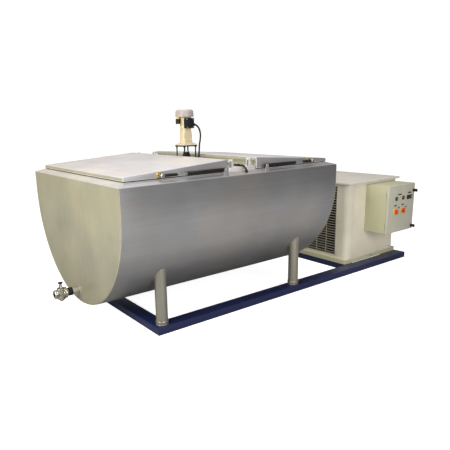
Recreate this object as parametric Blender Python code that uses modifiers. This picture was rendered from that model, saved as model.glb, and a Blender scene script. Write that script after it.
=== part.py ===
"""Open half-round bulk milk tank on a box-section frame, with its condensing unit.

Bench coordinates, in metres: x = 0 at the tank's left end face and runs towards the condensing unit,
y = 0 is the tank's centre plane and z = 0 the floor. Every part hangs from one empty, which carries
the bench to the middle of the footprint.
"""

import math

import bmesh
import bpy
from mathutils import Matrix, Vector

CLEAR = 0.0003  # gap between pieces that touch
SIDES = 24  # facets of a round piece
SMALL_SIDES = 16
SHEET = 0.0015

# Tank: a half cylinder with short straight sides above it
TANK_LENGTH = 1.790
TANK_RADIUS = 0.690
TANK_AXIS_Z = 0.814
JACKET_TOP = 0.957
ARC_STEPS = 36
VESSEL_RADIUS = 0.625
VESSEL_WALL = 0.002
VESSEL_END = 0.080  # from the tank's end face to the vessel's inside
VESSEL_TOP = 0.972

# Rim, bridge and lids
RIM_TOP = 0.979
RIM_EDGE = 0.0035
RIM_SLOPE = 0.060
RIM_SKIN = 0.003
OPENING_HALF = 0.605
OPENING_END = 0.085
BRIDGE_X = 0.920
BRIDGE_HALF = 0.114
BRIDGE_TOP = 1.003
BRIM_HALF = 0.145
LID_BOTTOM = 0.984
LID_HALF_WIDTH = 0.625
LID_LEFT = (0.060, 0.800)
LID_RIGHT = (1.740, 1.040)
LID_EDGE_HEIGHT = 0.022
LID_HINGE_HEIGHT = 0.071
HINGE_OFFSET = 0.075  # hinge pins stand this far from the bridge's middle
HINGE_Z = 1.045
PIN_RADIUS = 0.005
KNUCKLE_Y = 0.600
KNUCKLE_HALF = 0.007

# Lid struts
STRUT_Y = -0.660
STRUT_Z = 1.000
STRUT_RIM_OFFSET = 0.100  # from the hinge pin to the strut's pivot on the rim
STRUT_LID_OFFSET = 0.555  # from the hinge pin to the strut's pivot on the lid
STRUT_TUBE = 0.323
STRUT_RADIUS = 0.011
STRUT_ROD_RADIUS = 0.005
STRUT_SOCKET_RADIUS = 0.0085  # the rod's end fitting, which passes in front of the lid's boss
EYE_RADIUS = 0.012
EYE_HALF = 0.008
STUD_RADIUS = 0.004

# Frame and legs
FRAME_X = (0.260, 2.970)
FRAME_HALF_WIDTH = 0.587
BEAM_WIDTH = 0.100
BEAM_HEIGHT = 0.050
BEAM_WALL = 0.004
UNIT_MEMBER_X = 2.212
LEG_X = (0.323, 1.517)
LEG_Y = 0.529
LEG_RADIUS = 0.038
LEG_WALL = 0.003

# Agitator drive
DRIVE_X = 0.915
STAND_HALF = 0.060
STAND_TOP = 1.124
STAND_PLATE = 0.006
LEG_PITCH = 0.054
MOTOR_TOP = 1.378
SHAFT_RADIUS = 0.0125
SHAFT_LOW = 0.290
PADDLE_RADIUS = 0.200
PADDLE_LOW = 0.300
PADDLE_HIGH = 0.370
CABLE_RADIUS = 0.0045

# Outlet
OUTLET_Z = 0.2095
OUTLET_BORE = 0.0195
OUTLET_PIPE_RADIUS = 0.0225
VALVE_X = -0.126
VALVE_END_X = -0.173
VALVE_BORE = 0.0160
PLUG_RADIUS = 0.0195
PLUG_CLEAR = 0.0005

# Condensing unit
UNIT_X = (2.225, 2.934)
UNIT_HALF_WIDTH = 0.486
UNIT_CORNER = 0.055
TRAY_X = (2.212, 2.952)
TRAY_HALF_WIDTH = 0.4855
TRAY_TOP = 0.0885
UNIT_TOP = 0.742
TOP_PLATE = 0.0155
TOP_OVERHANG = 0.018
GRILLE_HALF = 0.3664
GRILLE_Z = (0.111, 0.7195)
FAN_X = 2.365
FAN_Z = 0.415
FAN_RADIUS = 0.215
FAN_BLADES = 5
SUCTION_RADIUS = 0.009
LIQUID_RADIUS = 0.005
SUCTION_EXIT = (0.200, 0.205)  # y, z where the line leaves the tank's right end
LIQUID_EXIT = (0.260, 0.228)
SUCTION_ENTRY = (0.397, 0.150)  # y, z where it enters the cabinet
LIQUID_ENTRY = (0.397, 0.205)

# Control box
BOX_X = (2.458, 2.848)
BOX_Z = (0.318, 0.725)
BOX_FRONT = -0.6885
DOOR_BACK = -0.690
DOOR_FRONT = -0.708
LOCK_X = 2.826
LOCK_Z = (0.662, 0.347)
LOCK_FRONT = -0.745
BUTTON_SPOTS = (2.574, 2.675)
BUTTON_Z = 0.611
BUTTON_RADIUS = 0.011
SWITCH_SPOTS = (2.568, 2.672)
SWITCH_Z = 0.502
SWITCH_PLATE = 0.024
DISPLAY_X = 2.770
DISPLAY_Z = 0.609

FOOTPRINT = Vector(
    ((VALVE_END_X + FRAME_X[1]) / 2, (LOCK_FRONT + TANK_RADIUS) / 2, 0)
)

FINISHES = {
    # colour, roughness, metallic
    "jacket_steel": ((0.55, 0.55, 0.53, 1), 0.35, 1.0),
    "lid_steel": ((0.78, 0.76, 0.75, 1), 0.40, 1.0),
    "polished_steel": ((0.80, 0.80, 0.78, 1), 0.15, 1.0),
    "valve_chrome": ((0.75, 0.74, 0.68, 1), 0.12, 1.0),
    "frame_blue": ((0.03, 0.04, 0.16, 1), 0.45, 0.0),
    "cabinet_cream": ((0.71, 0.68, 0.54, 1), 0.45, 0.0),
    "motor_cream": ((0.72, 0.62, 0.42, 1), 0.45, 0.0),
    "cowl_white": ((0.80, 0.78, 0.76, 1), 0.50, 0.0),
    "black_plastic": ((0.02, 0.02, 0.02, 1), 0.45, 0.0),
    "black_rubber": ((0.02, 0.02, 0.02, 1), 0.80, 0.0),
    "plated_bracket": ((0.62, 0.47, 0.16, 1), 0.35, 1.0),
    "foam": ((0.80, 0.72, 0.45, 1), 0.90, 0.0),
    "copper_line": ((0.72, 0.38, 0.22, 1), 0.30, 1.0),
    "coil_aluminium": ((0.60, 0.61, 0.62, 1), 0.40, 1.0),
    "compressor_black": ((0.03, 0.03, 0.03, 1), 0.40, 0.0),
    "red_handle": ((0.75, 0.05, 0.03, 1), 0.35, 0.0),
    "green_cap": ((0.02, 0.22, 0.08, 1), 0.35, 0.0),
    "red_cap": ((0.50, 0.02, 0.02, 1), 0.35, 0.0),
    "milky_gear": ((0.55, 0.55, 0.52, 1), 0.50, 0.0),
}


def clear_scene():
    for obj in list(bpy.data.objects):
        bpy.data.objects.remove(obj, do_unlink=True)


def new_collection(name):
    made = bpy.data.collections.new(name)
    bpy.context.scene.collection.children.link(made)
    return made


clear_scene()
PARTS = new_collection("bulk_milk_tank")
CUTTERS = new_collection("cutters")
CUTTERS.hide_render = True
BENCH = bpy.data.objects.new("bench", None)
BENCH.location = -FOOTPRINT
PARTS.objects.link(BENCH)


def finish_of(name):
    if name in bpy.data.materials:
        return bpy.data.materials[name]
    colour, roughness, metallic = FINISHES[name]
    made = bpy.data.materials.new(name)
    made.use_nodes = True
    shader = made.node_tree.nodes["Principled BSDF"]
    shader.inputs["Base Color"].default_value = colour
    shader.inputs["Roughness"].default_value = roughness
    shader.inputs["Metallic"].default_value = metallic
    made.diffuse_color = colour
    return made


def add(name, mesh, finish, origin=(0, 0, 0)):
    """Makes a part from a mesh in bench coordinates. Its own origin is the point given."""
    mesh.transform(Matrix.Translation(-Vector(origin)))
    mesh.materials.clear()
    mesh.materials.append(finish_of(finish))
    mesh.shade_smooth()
    mesh.set_sharp_from_angle(angle=math.radians(35))
    obj = bpy.data.objects.new(name, mesh)
    obj.location = origin
    obj.parent = BENCH
    PARTS.objects.link(obj)
    return obj


def helper(name, mesh):
    """A shape in bench coordinates that only cuts or joins another."""
    obj = bpy.data.objects.new(name, mesh)
    obj.parent = BENCH
    obj.hide_render = True
    obj.display_type = "WIRE"
    CUTTERS.objects.link(obj)
    return obj


def combine(obj, mesh, operation, label):
    other = helper(f"{obj.name}_{label}", mesh)
    step = obj.modifiers.new(label, "BOOLEAN")
    step.operation = operation
    step.solver = "EXACT"
    step.object = other
    return other


def cut(obj, mesh, label="cut"):
    return combine(obj, mesh, "DIFFERENCE", label)


def join(obj, mesh, label="join"):
    return combine(obj, mesh, "UNION", label)


def finished(bm, name="shape"):
    bmesh.ops.recalc_face_normals(bm, faces=bm.faces[:])
    mesh = bpy.data.meshes.new(name)
    bm.to_mesh(mesh)
    bm.free()
    return mesh


def boxes(*corners, bevel=0.0):
    """One mesh of separate boxes, each given by its low and high corner."""
    bm = bmesh.new()
    for low, high in corners:
        low, high = Vector(low), Vector(high)
        place = Matrix.Translation((low + high) / 2) @ Matrix.Diagonal((*(high - low), 1))
        bmesh.ops.create_cube(bm, size=1, matrix=place)
    if bevel:
        bmesh.ops.bevel(
            bm, geom=bm.edges[:], offset=bevel, segments=2, profile=0.5, affect="EDGES"
        )
    return finished(bm)


def frustum(low, high, top_z, inset):
    """A box with vertical edges from low to high, then sides that slope in to top_z."""
    bm = bmesh.new()
    levels = ((low[2], 0), (high[2], 0), (top_z, inset))
    for z, step in levels:
        for x in (low[0] + step, high[0] - step):
            for y in (low[1] + step, high[1] - step):
                bm.verts.new((x, y, z))
    bmesh.ops.convex_hull(bm, input=bm.verts[:])
    return finished(bm)


def rod(start, end, radius, sides=SIDES, end_radius=None):
    start, end = Vector(start), Vector(end)
    turn = (end - start).to_track_quat("Z", "Y").to_matrix().to_4x4()
    bm = bmesh.new()
    bmesh.ops.create_cone(
        bm,
        cap_ends=True,
        segments=sides,
        radius1=radius,
        radius2=radius if end_radius is None else end_radius,
        depth=(end - start).length,
        matrix=Matrix.Translation((start + end) / 2) @ turn,
    )
    return finished(bm)


def evaluated_mesh(obj, place):
    """The object's evaluated mesh, with its caps welded, moved to its place."""
    graph = bpy.context.evaluated_depsgraph_get()
    mesh = bpy.data.meshes.new_from_object(obj.evaluated_get(graph))
    bpy.data.objects.remove(obj, do_unlink=True)
    bm = bmesh.new()
    bm.from_mesh(mesh)
    bmesh.ops.remove_doubles(bm, verts=bm.verts[:], dist=1e-6)
    bmesh.ops.transform(bm, matrix=place, verts=bm.verts[:])
    return finished(bm)


def turned(profile, base, direction, sides=SIDES, loop=False):
    """Turns (radius, height) points about the line that starts at base."""
    mesh = bpy.data.meshes.new("profile")
    count = len(profile)
    edges = [(i, i + 1) for i in range(count - 1)] + ([(count - 1, 0)] if loop else [])
    mesh.from_pydata([(r, 0, h) for r, h in profile], edges, [])
    obj = bpy.data.objects.new("profile", mesh)
    CUTTERS.objects.link(obj)
    screw = obj.modifiers.new("turn", "SCREW")
    screw.steps = screw.render_steps = sides
    screw.use_merge_vertices = True
    screw.merge_threshold = 0.00001
    turn = Vector(direction).to_track_quat("Z", "Y").to_matrix().to_4x4()
    return evaluated_mesh(obj, Matrix.Translation(base) @ turn)


AXIS_TURNS = {
    "X": Matrix(((0, 0, 1, 0), (1, 0, 0, 0), (0, 1, 0, 0), (0, 0, 0, 1))),
    "Y": Matrix(((1, 0, 0, 0), (0, 0, -1, 0), (0, 1, 0, 0), (0, 0, 0, 1))),
    "Z": Matrix.Identity(4),
}


def prism(outline, axis, low, high, holes=()):
    """Extrudes a flat outline along an axis. Its points are (y, z), (x, z) or (x, y)."""
    curve = bpy.data.curves.new("outline", "CURVE")
    curve.dimensions = "2D"
    curve.fill_mode = "BOTH"
    curve.extrude = (high - low) / 2
    for points in (outline, *holes):
        spline = curve.splines.new("POLY")
        spline.points.add(len(points) - 1)
        for point, (a, b) in zip(spline.points, points):
            point.co = (a, b, 0, 1)
        spline.use_cyclic_u = True
    obj = bpy.data.objects.new("outline", curve)
    CUTTERS.objects.link(obj)
    middle = (low + high) / 2
    shift = {"X": (middle, 0, 0), "Y": (0, middle, 0), "Z": (0, 0, middle)}[axis]
    return evaluated_mesh(obj, Matrix.Translation(shift) @ AXIS_TURNS[axis])


def tube(points, radius):
    """A round wire or pipe along points."""
    curve = bpy.data.curves.new("route", "CURVE")
    curve.dimensions = "3D"
    curve.bevel_depth = radius
    curve.bevel_resolution = 2
    curve.use_fill_caps = True
    spline = curve.splines.new("POLY")
    spline.points.add(len(points) - 1)
    for point, place in zip(spline.points, points):
        point.co = (*place, 1)
    obj = bpy.data.objects.new("route", curve)
    CUTTERS.objects.link(obj)
    return evaluated_mesh(obj, Matrix.Identity(4))


def smooth_route(points, step):
    """Points of a Catmull-Rom curve through the route's own points, about a step apart."""
    knots = [Vector(p) for p in points]
    knots = [2 * knots[0] - knots[1], *knots, 2 * knots[-1] - knots[-2]]
    route = [knots[1]]
    for a, b, c, d in zip(knots, knots[1:], knots[2:], knots[3:]):
        count = max(1, round((c - b).length / step))
        for i in range(1, count + 1):
            t = i / count
            route.append(
                0.5
                * (
                    2 * b
                    + (c - a) * t
                    + (2 * a - 5 * b + 4 * c - d) * t * t
                    + (3 * b - a - 3 * c + d) * t * t * t
                )
            )
    return route


def arc(centre, radius, start, end, steps):
    """Points along an arc, angles in degrees from the first axis towards the second."""
    angles = [math.radians(start + (end - start) * i / steps) for i in range(steps + 1)]
    return [
        (centre[0] + radius * math.cos(a), centre[1] + radius * math.sin(a)) for a in angles
    ]


def trough_outline(radius, top):
    """The tank's cross-section: straight sides over a half circle."""
    bowl = arc((0, TANK_AXIS_Z), radius, 180, 360, ARC_STEPS)
    return [(-radius, top), *bowl, (radius, top)]


def trough(name, radius, wall, ends, top, finish):
    """An open trough with flat ends."""
    obj = add(name, prism(trough_outline(radius, top), "X", *ends), finish)
    inside = prism(
        trough_outline(radius - wall, top + 0.05), "X", ends[0] + wall, ends[1] - wall
    )
    cut(obj, inside, "inside")
    return obj


def rounded_rectangle(x_range, y_range, radius, steps=6):
    (x0, x1), (y0, y1) = x_range, y_range
    return [
        *arc((x1 - radius, y1 - radius), radius, 0, 90, steps),
        *arc((x0 + radius, y1 - radius), radius, 90, 180, steps),
        *arc((x0 + radius, y0 + radius), radius, 180, 270, steps),
        *arc((x1 - radius, y0 + radius), radius, 270, 360, steps),
    ]


def beam(name, low, high, open_low=(0, 0, 0), open_high=(0, 0, 0)):
    """A box section. Its walls are closed, except the ends marked with a 1."""
    obj = add(name, boxes((low, high)), "frame_blue")
    inner_low = [v + BEAM_WALL - 2 * BEAM_WALL * gap for v, gap in zip(low, open_low)]
    inner_high = [v - BEAM_WALL + 2 * BEAM_WALL * gap for v, gap in zip(high, open_high)]
    cut(obj, boxes((inner_low, inner_high)), "inside")


def build_frame():
    inner = FRAME_HALF_WIDTH - BEAM_WIDTH
    for name, side in (("near_rail", -1), ("far_rail", 1)):
        y = sorted((side * inner, side * FRAME_HALF_WIDTH))
        low, high = (FRAME_X[0], y[0], 0), (FRAME_X[1], y[1], BEAM_HEIGHT)
        beam(name, low, high, open_high=(1, 0, 0))
    members = {
        "left_cross_member": FRAME_X[0],
        "unit_cross_member": UNIT_MEMBER_X,
        "right_cross_member": FRAME_X[1] - BEAM_WIDTH,
    }
    for name, x in members.items():
        low = (x, -inner + CLEAR, 0)
        high = (x + BEAM_WIDTH, inner - CLEAR, BEAM_HEIGHT)
        beam(name, low, high, open_low=(0, 1, 0), open_high=(0, 1, 0))


def leg_profile():
    """Outer side, top to bottom, with its collar, then back up the bore."""
    base = BEAM_HEIGHT + CLEAR
    collar = LEG_RADIUS + 0.004
    bore = LEG_RADIUS - LEG_WALL
    return [
        (LEG_RADIUS, 0.45),
        (LEG_RADIUS, base + 0.026),
        (collar, base + 0.024),
        (collar, base + 0.014),
        (LEG_RADIUS, base + 0.012),
        (LEG_RADIUS, base),
        (bore, base),
        (bore, 0.45),
    ]


def build_legs():
    outline = trough_outline(TANK_RADIUS + CLEAR, 1.0)
    for end, x in zip(("left", "right"), LEG_X):
        for side, y in (("near", -LEG_Y), ("far", LEG_Y)):
            body = turned(leg_profile(), (x, y, 0), (0, 0, 1), loop=True)
            obj = add(f"{end}_{side}_leg", body, "jacket_steel")
            cut(obj, prism(outline, "X", x - 0.1, x + 0.1), "tank")


def line_holes(y, z, radius, x_range, sides=SMALL_SIDES):
    return rod((x_range[0], y, z), (x_range[1], y, z), radius, sides)


def build_tank():
    span = (0, TANK_LENGTH)
    jacket = trough("outer_jacket", TANK_RADIUS, SHEET, span, JACKET_TOP, "jacket_steel")
    foam_gap = SHEET + CLEAR
    foam = add(
        "insulation",
        prism(
            trough_outline(TANK_RADIUS - foam_gap, JACKET_TOP - 0.002),
            "X",
            foam_gap,
            TANK_LENGTH - foam_gap,
        ),
        "foam",
    )
    outer = VESSEL_RADIUS + VESSEL_WALL
    vessel_span = (VESSEL_END - VESSEL_WALL, TANK_LENGTH - VESSEL_END + VESSEL_WALL)
    cavity = prism(
        trough_outline(outer + CLEAR, JACKET_TOP + 0.05),
        "X",
        vessel_span[0] - CLEAR,
        vessel_span[1] + CLEAR,
    )
    cut(foam, cavity, "vessel_space")
    vessel = trough(
        "inner_vessel", outer, VESSEL_WALL, vessel_span, VESSEL_TOP, "polished_steel"
    )
    build_evaporator(foam, outer)

    hole = OUTLET_PIPE_RADIUS + CLEAR
    cut(jacket, line_holes(0, OUTLET_Z, hole, (-0.02, 0.02), SIDES), "outlet_hole")
    cut(foam, line_holes(0, OUTLET_Z, hole, (-0.02, 0.10), SIDES), "outlet_hole")
    cut(vessel, line_holes(0, OUTLET_Z, OUTLET_BORE, (0.05, 0.09), SIDES), "outlet_hole")
    for label, (y, z), radius in (
        ("suction_hole", SUCTION_EXIT, SUCTION_RADIUS),
        ("liquid_hole", LIQUID_EXIT, LIQUID_RADIUS),
    ):
        reach = (1.601, TANK_LENGTH + 0.02)
        cut(foam, line_holes(y, z, radius + 0.001, reach), label)
        cut(jacket, line_holes(y, z, radius + 0.001, (1.75, reach[1])), label)


def build_evaporator(foam, vessel_outside):
    """A curved plate under the vessel's floor, in a pocket of the insulation."""
    inner, outer = vessel_outside + CLEAR, vessel_outside + 0.0035
    centre = (0, TANK_AXIS_Z)

    def band(low_radius, high_radius, half_angle):
        steps = half_angle * 2 * ARC_STEPS // 180
        inside = arc(centre, low_radius, 270 - half_angle, 270 + half_angle, steps)
        outside = arc(centre, high_radius, 270 + half_angle, 270 - half_angle, steps)
        return inside + outside

    add("evaporator_plate", prism(band(inner, outer, 45), "X", 0.30, 1.60), "polished_steel")
    pocket = prism(band(inner - 0.002, outer + 0.001, 50), "X", 0.298, 1.602)
    cut(foam, pocket, "pocket")


def build_rim():
    """A folded band round the tank's mouth, hollow underneath, with a turned-down inner lip."""
    base = JACKET_TOP + CLEAR
    edge = base + RIM_EDGE
    low, high = (0, -TANK_RADIUS, base), (TANK_LENGTH, TANK_RADIUS, edge)
    rim = add("tank_rim", frustum(low, high, RIM_TOP, RIM_SLOPE), "lid_steel")
    inset = RIM_SKIN
    hollow = helper(
        "rim_hollow",
        frustum(
            (inset, -TANK_RADIUS + inset, base - 0.01),
            (TANK_LENGTH - inset, TANK_RADIUS - inset, edge - inset + 0.0005),
            RIM_TOP - RIM_SKIN,
            RIM_SLOPE,
        ),
    )
    lip = boxes(
        (
            (OPENING_END - inset, -OPENING_HALF - inset, 0.9),
            (TANK_LENGTH - OPENING_END + inset, OPENING_HALF + inset, 1.1),
        )
    )
    cut(hollow, lip, "lip")
    step = rim.modifiers.new("hollow", "BOOLEAN")
    step.operation = "DIFFERENCE"
    step.solver = "EXACT"
    step.object = hollow
    mouth = boxes(
        (
            (OPENING_END, -OPENING_HALF, 0.9),
            (TANK_LENGTH - OPENING_END, OPENING_HALF, 1.1),
        )
    )
    cut(rim, mouth, "mouth")
    for label, hinge_x, side in strut_sides():
        join(rim, rim_ear(hinge_x + side * STRUT_RIM_OFFSET), f"{label}_ear")


def rim_ear(x):
    """The ear that carries a strut's lower pivot, with its stud."""
    ear_y = (STRUT_Y - 0.016, STRUT_Y - 0.012)
    outline = [
        (x - 0.022, 0.9625),
        (x + 0.022, 0.9625),
        *arc((x, STRUT_Z), 0.012, 0, 180, 8),
    ]
    ear = prism(outline, "Y", *ear_y)
    stud = rod((x, STRUT_Y - 0.014, STRUT_Z), (x, STRUT_Y + 0.010, STRUT_Z), STUD_RADIUS, 16)
    return merged(ear, stud)


def merged(*meshes):
    """One closed mesh that is the union of several."""
    first = bpy.data.objects.new("merge", meshes[0])
    CUTTERS.objects.link(first)
    for mesh in meshes[1:]:
        other = bpy.data.objects.new("merge_part", mesh)
        other.hide_render = True
        CUTTERS.objects.link(other)
        step = first.modifiers.new("join", "BOOLEAN")
        step.operation = "UNION"
        step.solver = "EXACT"
        step.object = other
    result = evaluated_mesh(first, Matrix.Identity(4))
    for obj in [o for o in CUTTERS.objects if o.name.startswith("merge_part")]:
        bpy.data.objects.remove(obj, do_unlink=True)
    return result


def strut_sides():
    """Name, hinge x and the way the lid runs from its hinge."""
    return (
        ("left", BRIDGE_X - HINGE_OFFSET, -1),
        ("right", BRIDGE_X + HINGE_OFFSET, 1),
    )


def build_bridge():
    x0, x1 = BRIDGE_X - BRIDGE_HALF, BRIDGE_X + BRIDGE_HALF
    seat = RIM_TOP + CLEAR
    reach = OPENING_HALF - 0.0005
    crown = boxes(((x0, -LID_HALF_WIDTH, seat), (x1, LID_HALF_WIDTH, BRIDGE_TOP)))
    bridge = add("bridge", crown, "lid_steel")
    brim = boxes(
        (
            (BRIDGE_X - BRIM_HALF, -reach, RIM_TOP - 0.003),
            (BRIDGE_X + BRIM_HALF, reach, RIM_TOP),
        )
    )
    join(bridge, boxes(((x0, -reach, RIM_TOP - 0.003), (x1, reach, RIM_TOP + 0.012))), "web")
    join(bridge, brim, "brim")
    wall = 0.004
    inside = boxes(
        ((x0 + wall, -reach + wall, 0.9), (x1 - wall, reach - wall, BRIDGE_TOP - 0.003))
    )
    cut(bridge, inside, "inside")
    cut(bridge, rod((DRIVE_X, 0, 0.9), (DRIVE_X, 0, 1.1), SHAFT_RADIUS + 0.004), "shaft_hole")
    for label, hinge_x, side in strut_sides():
        join(bridge, hinge_lugs(hinge_x), f"{label}_lugs")


def hinge_lugs(x):
    """Four upright lugs, a pair for each knuckle, bored for the pin."""
    outline = [(x + 0.009, BRIDGE_TOP - 0.002), *arc((x, HINGE_Z), 0.009, 0, 180, 10)]
    outline.append((x - 0.009, BRIDGE_TOP - 0.002))
    bore = arc((x, HINGE_Z), PIN_RADIUS + CLEAR, 0, 360, 16)[:-1]
    bm = bmesh.new()
    for side in (-1, 1):
        for offset in (-0.0125, 0.0125):
            y = side * KNUCKLE_Y + offset
            bm.from_mesh(prism(outline, "Y", y - 0.004, y + 0.004, holes=(bore,)))
    return finished(bm)


def lid_outline(span, shrink=0.0):
    """Wedge profile in x and z, low at the outer edge and high at the hinge."""
    outer, inner = span
    way = 1 if inner > outer else -1
    outer, inner = outer + way * shrink, inner - way * shrink
    bottom = LID_BOTTOM - (0.02 if shrink else 0)
    top = LID_BOTTOM - shrink
    return [
        (outer, bottom),
        (inner, bottom),
        (inner, top + LID_HINGE_HEIGHT),
        (outer, top + LID_EDGE_HEIGHT),
    ]


def build_lid(label, span, hinge_x):
    """A folded lid, open underneath, with two bored knuckles on its high end."""
    hinge = (hinge_x, 0, HINGE_Z)
    mesh = prism(lid_outline(span), "Y", -LID_HALF_WIDTH, LID_HALF_WIDTH)
    lid = add(f"{label}_lid", mesh, "lid_steel")
    inside = prism(lid_outline(span, SHEET), "Y", -LID_HALF_WIDTH + SHEET, LID_HALF_WIDTH - SHEET)
    cut(lid, inside, "inside")
    face, way = span[1], (1 if span[1] < hinge_x else -1)
    root = face - way * 0.001
    for side, name in ((-1, "near"), (1, "far")):
        y = side * KNUCKLE_Y
        outline = [
            (root, HINGE_Z - 0.009),
            (hinge_x, HINGE_Z - 0.009),
            *arc((hinge_x, HINGE_Z), 0.009, -90, 90, 8)[1:-1],
            (hinge_x, HINGE_Z + 0.009),
            (root, HINGE_Z + 0.007),
        ]
        if way < 0:
            outline = [(2 * hinge_x - a if a > hinge_x else a, b) for a, b in outline]
            outline = [
                (root, HINGE_Z - 0.009),
                (hinge_x, HINGE_Z - 0.009),
                *arc((hinge_x, HINGE_Z), 0.009, 270, 90, 8)[1:-1],
                (hinge_x, HINGE_Z + 0.009),
                (root, HINGE_Z + 0.007),
            ]
        bore = arc((hinge_x, HINGE_Z), PIN_RADIUS + CLEAR, 0, 360, 16)[:-1]
        knuckle = prism(outline, "Y", y - KNUCKLE_HALF, y + KNUCKLE_HALF, holes=(bore,))
        join(lid, knuckle, f"{name}_knuckle")
    set_origin(lid, hinge)
    return lid


def set_origin(obj, point):
    """Moves a part's origin to a point, with its modifiers applied first."""
    graph = bpy.context.evaluated_depsgraph_get()
    mesh = bpy.data.meshes.new_from_object(obj.evaluated_get(graph))
    mesh.transform(Matrix.Translation(-Vector(point)))
    obj.modifiers.clear()
    obj.data = mesh
    obj.location = point


def build_gasket(label, span, hinge_x):
    """A flat seal between the lid's edge and the rim."""
    x0, x1 = sorted(span)
    width = 0.016
    low, high = RIM_TOP + CLEAR, LID_BOTTOM - CLEAR
    ring = boxes(((x0 + 0.003, -0.622, low), (x1 - 0.003, 0.622, high)))
    gasket = add(f"{label}_lid_gasket", ring, "black_rubber")
    hole = boxes(
        (
            (x0 + 0.003 + width, -0.622 + width, low - 0.01),
            (x1 - 0.003 - width, 0.622 - width, high + 0.01),
        )
    )
    cut(gasket, hole, "ring")
    set_origin(gasket, (hinge_x, 0, HINGE_Z))


def build_hinge_pin(label, x):
    """A long pin with a head at each end, outside the last lugs."""
    half, head = KNUCKLE_Y + 0.0170, 0.005
    profile = [
        (0, 2 * half + head),
        (0.008, 2 * half + head),
        (0.008, 2 * half),
        (PIN_RADIUS, 2 * half),
        (PIN_RADIUS, 0),
        (0.008, 0),
        (0.008, -head),
        (0, -head),
    ]
    pin = turned(profile, (x, -half, HINGE_Z), (0, 1, 0), SMALL_SIDES)
    add(f"{label}_hinge_pin", pin, "black_plastic")


def build_strut(label, hinge_x, side):
    """The tube turns on the rim's stud. The rod slides in it and ends at the lid's stud."""
    low = Vector((hinge_x + side * STRUT_RIM_OFFSET, STRUT_Y, STRUT_Z))
    high = Vector((hinge_x + side * STRUT_LID_OFFSET, STRUT_Y, STRUT_Z))
    way = (high - low).normalized()
    bore = STRUT_ROD_RADIUS + 0.0005
    profile = [
        (0, 0.009),
        (STRUT_RADIUS, 0.009),
        (STRUT_RADIUS, STRUT_TUBE - 0.002),
        (STRUT_RADIUS - 0.002, STRUT_TUBE),
        (bore, STRUT_TUBE),
        (bore, 0.045),
        (0, 0.045),
    ]
    tube_obj = add(f"{label}_strut_tube", turned(profile, low, way, SMALL_SIDES), "black_plastic")
    join(tube_obj, eye(low), "eye")
    cut(tube_obj, eye_bore(low), "bore")
    set_origin(tube_obj, low)

    reach = (high - low).length
    rod_profile = [
        (0, 0.050),
        (STRUT_ROD_RADIUS, 0.050),
        (STRUT_ROD_RADIUS, reach - 0.063),
        (STRUT_SOCKET_RADIUS - 0.0015, reach - 0.061),
        (STRUT_SOCKET_RADIUS, reach - 0.055),
        (STRUT_SOCKET_RADIUS, reach - 0.010),
        (0, reach - 0.010),
    ]
    rod_obj = add(f"{label}_strut_rod", turned(rod_profile, low, way, SMALL_SIDES), "polished_steel")
    join(rod_obj, eye(high), "eye")
    cut(rod_obj, eye_bore(high), "bore")
    set_origin(rod_obj, high)

    plate_y = (-LID_HALF_WIDTH - 0.0045, -LID_HALF_WIDTH - CLEAR)
    x = high.x
    outline = [
        (x - 0.018, LID_BOTTOM + 0.004),
        (x + 0.018, LID_BOTTOM + 0.004),
        (x + 0.018, STRUT_Z + 0.018),
        (x - 0.018, STRUT_Z + 0.018),
    ]
    bracket = add(f"{label}_lid_bracket", prism(outline, "Y", *plate_y), "plated_bracket")
    boss = rod((x, plate_y[0] + 0.001, STRUT_Z), (x, STRUT_Y + EYE_HALF + 0.001, STRUT_Z), 0.0075, 16)
    join(bracket, boss, "boss")
    set_origin(bracket, (hinge_x, 0, HINGE_Z))


def eye(centre):
    half = Vector((0, EYE_HALF, 0))
    return rod(centre - half, centre + half, EYE_RADIUS, SMALL_SIDES)


def eye_bore(centre):
    half = Vector((0, 0.02, 0))
    return rod(centre - half, centre + half, STUD_RADIUS + CLEAR, SMALL_SIDES)


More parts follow.
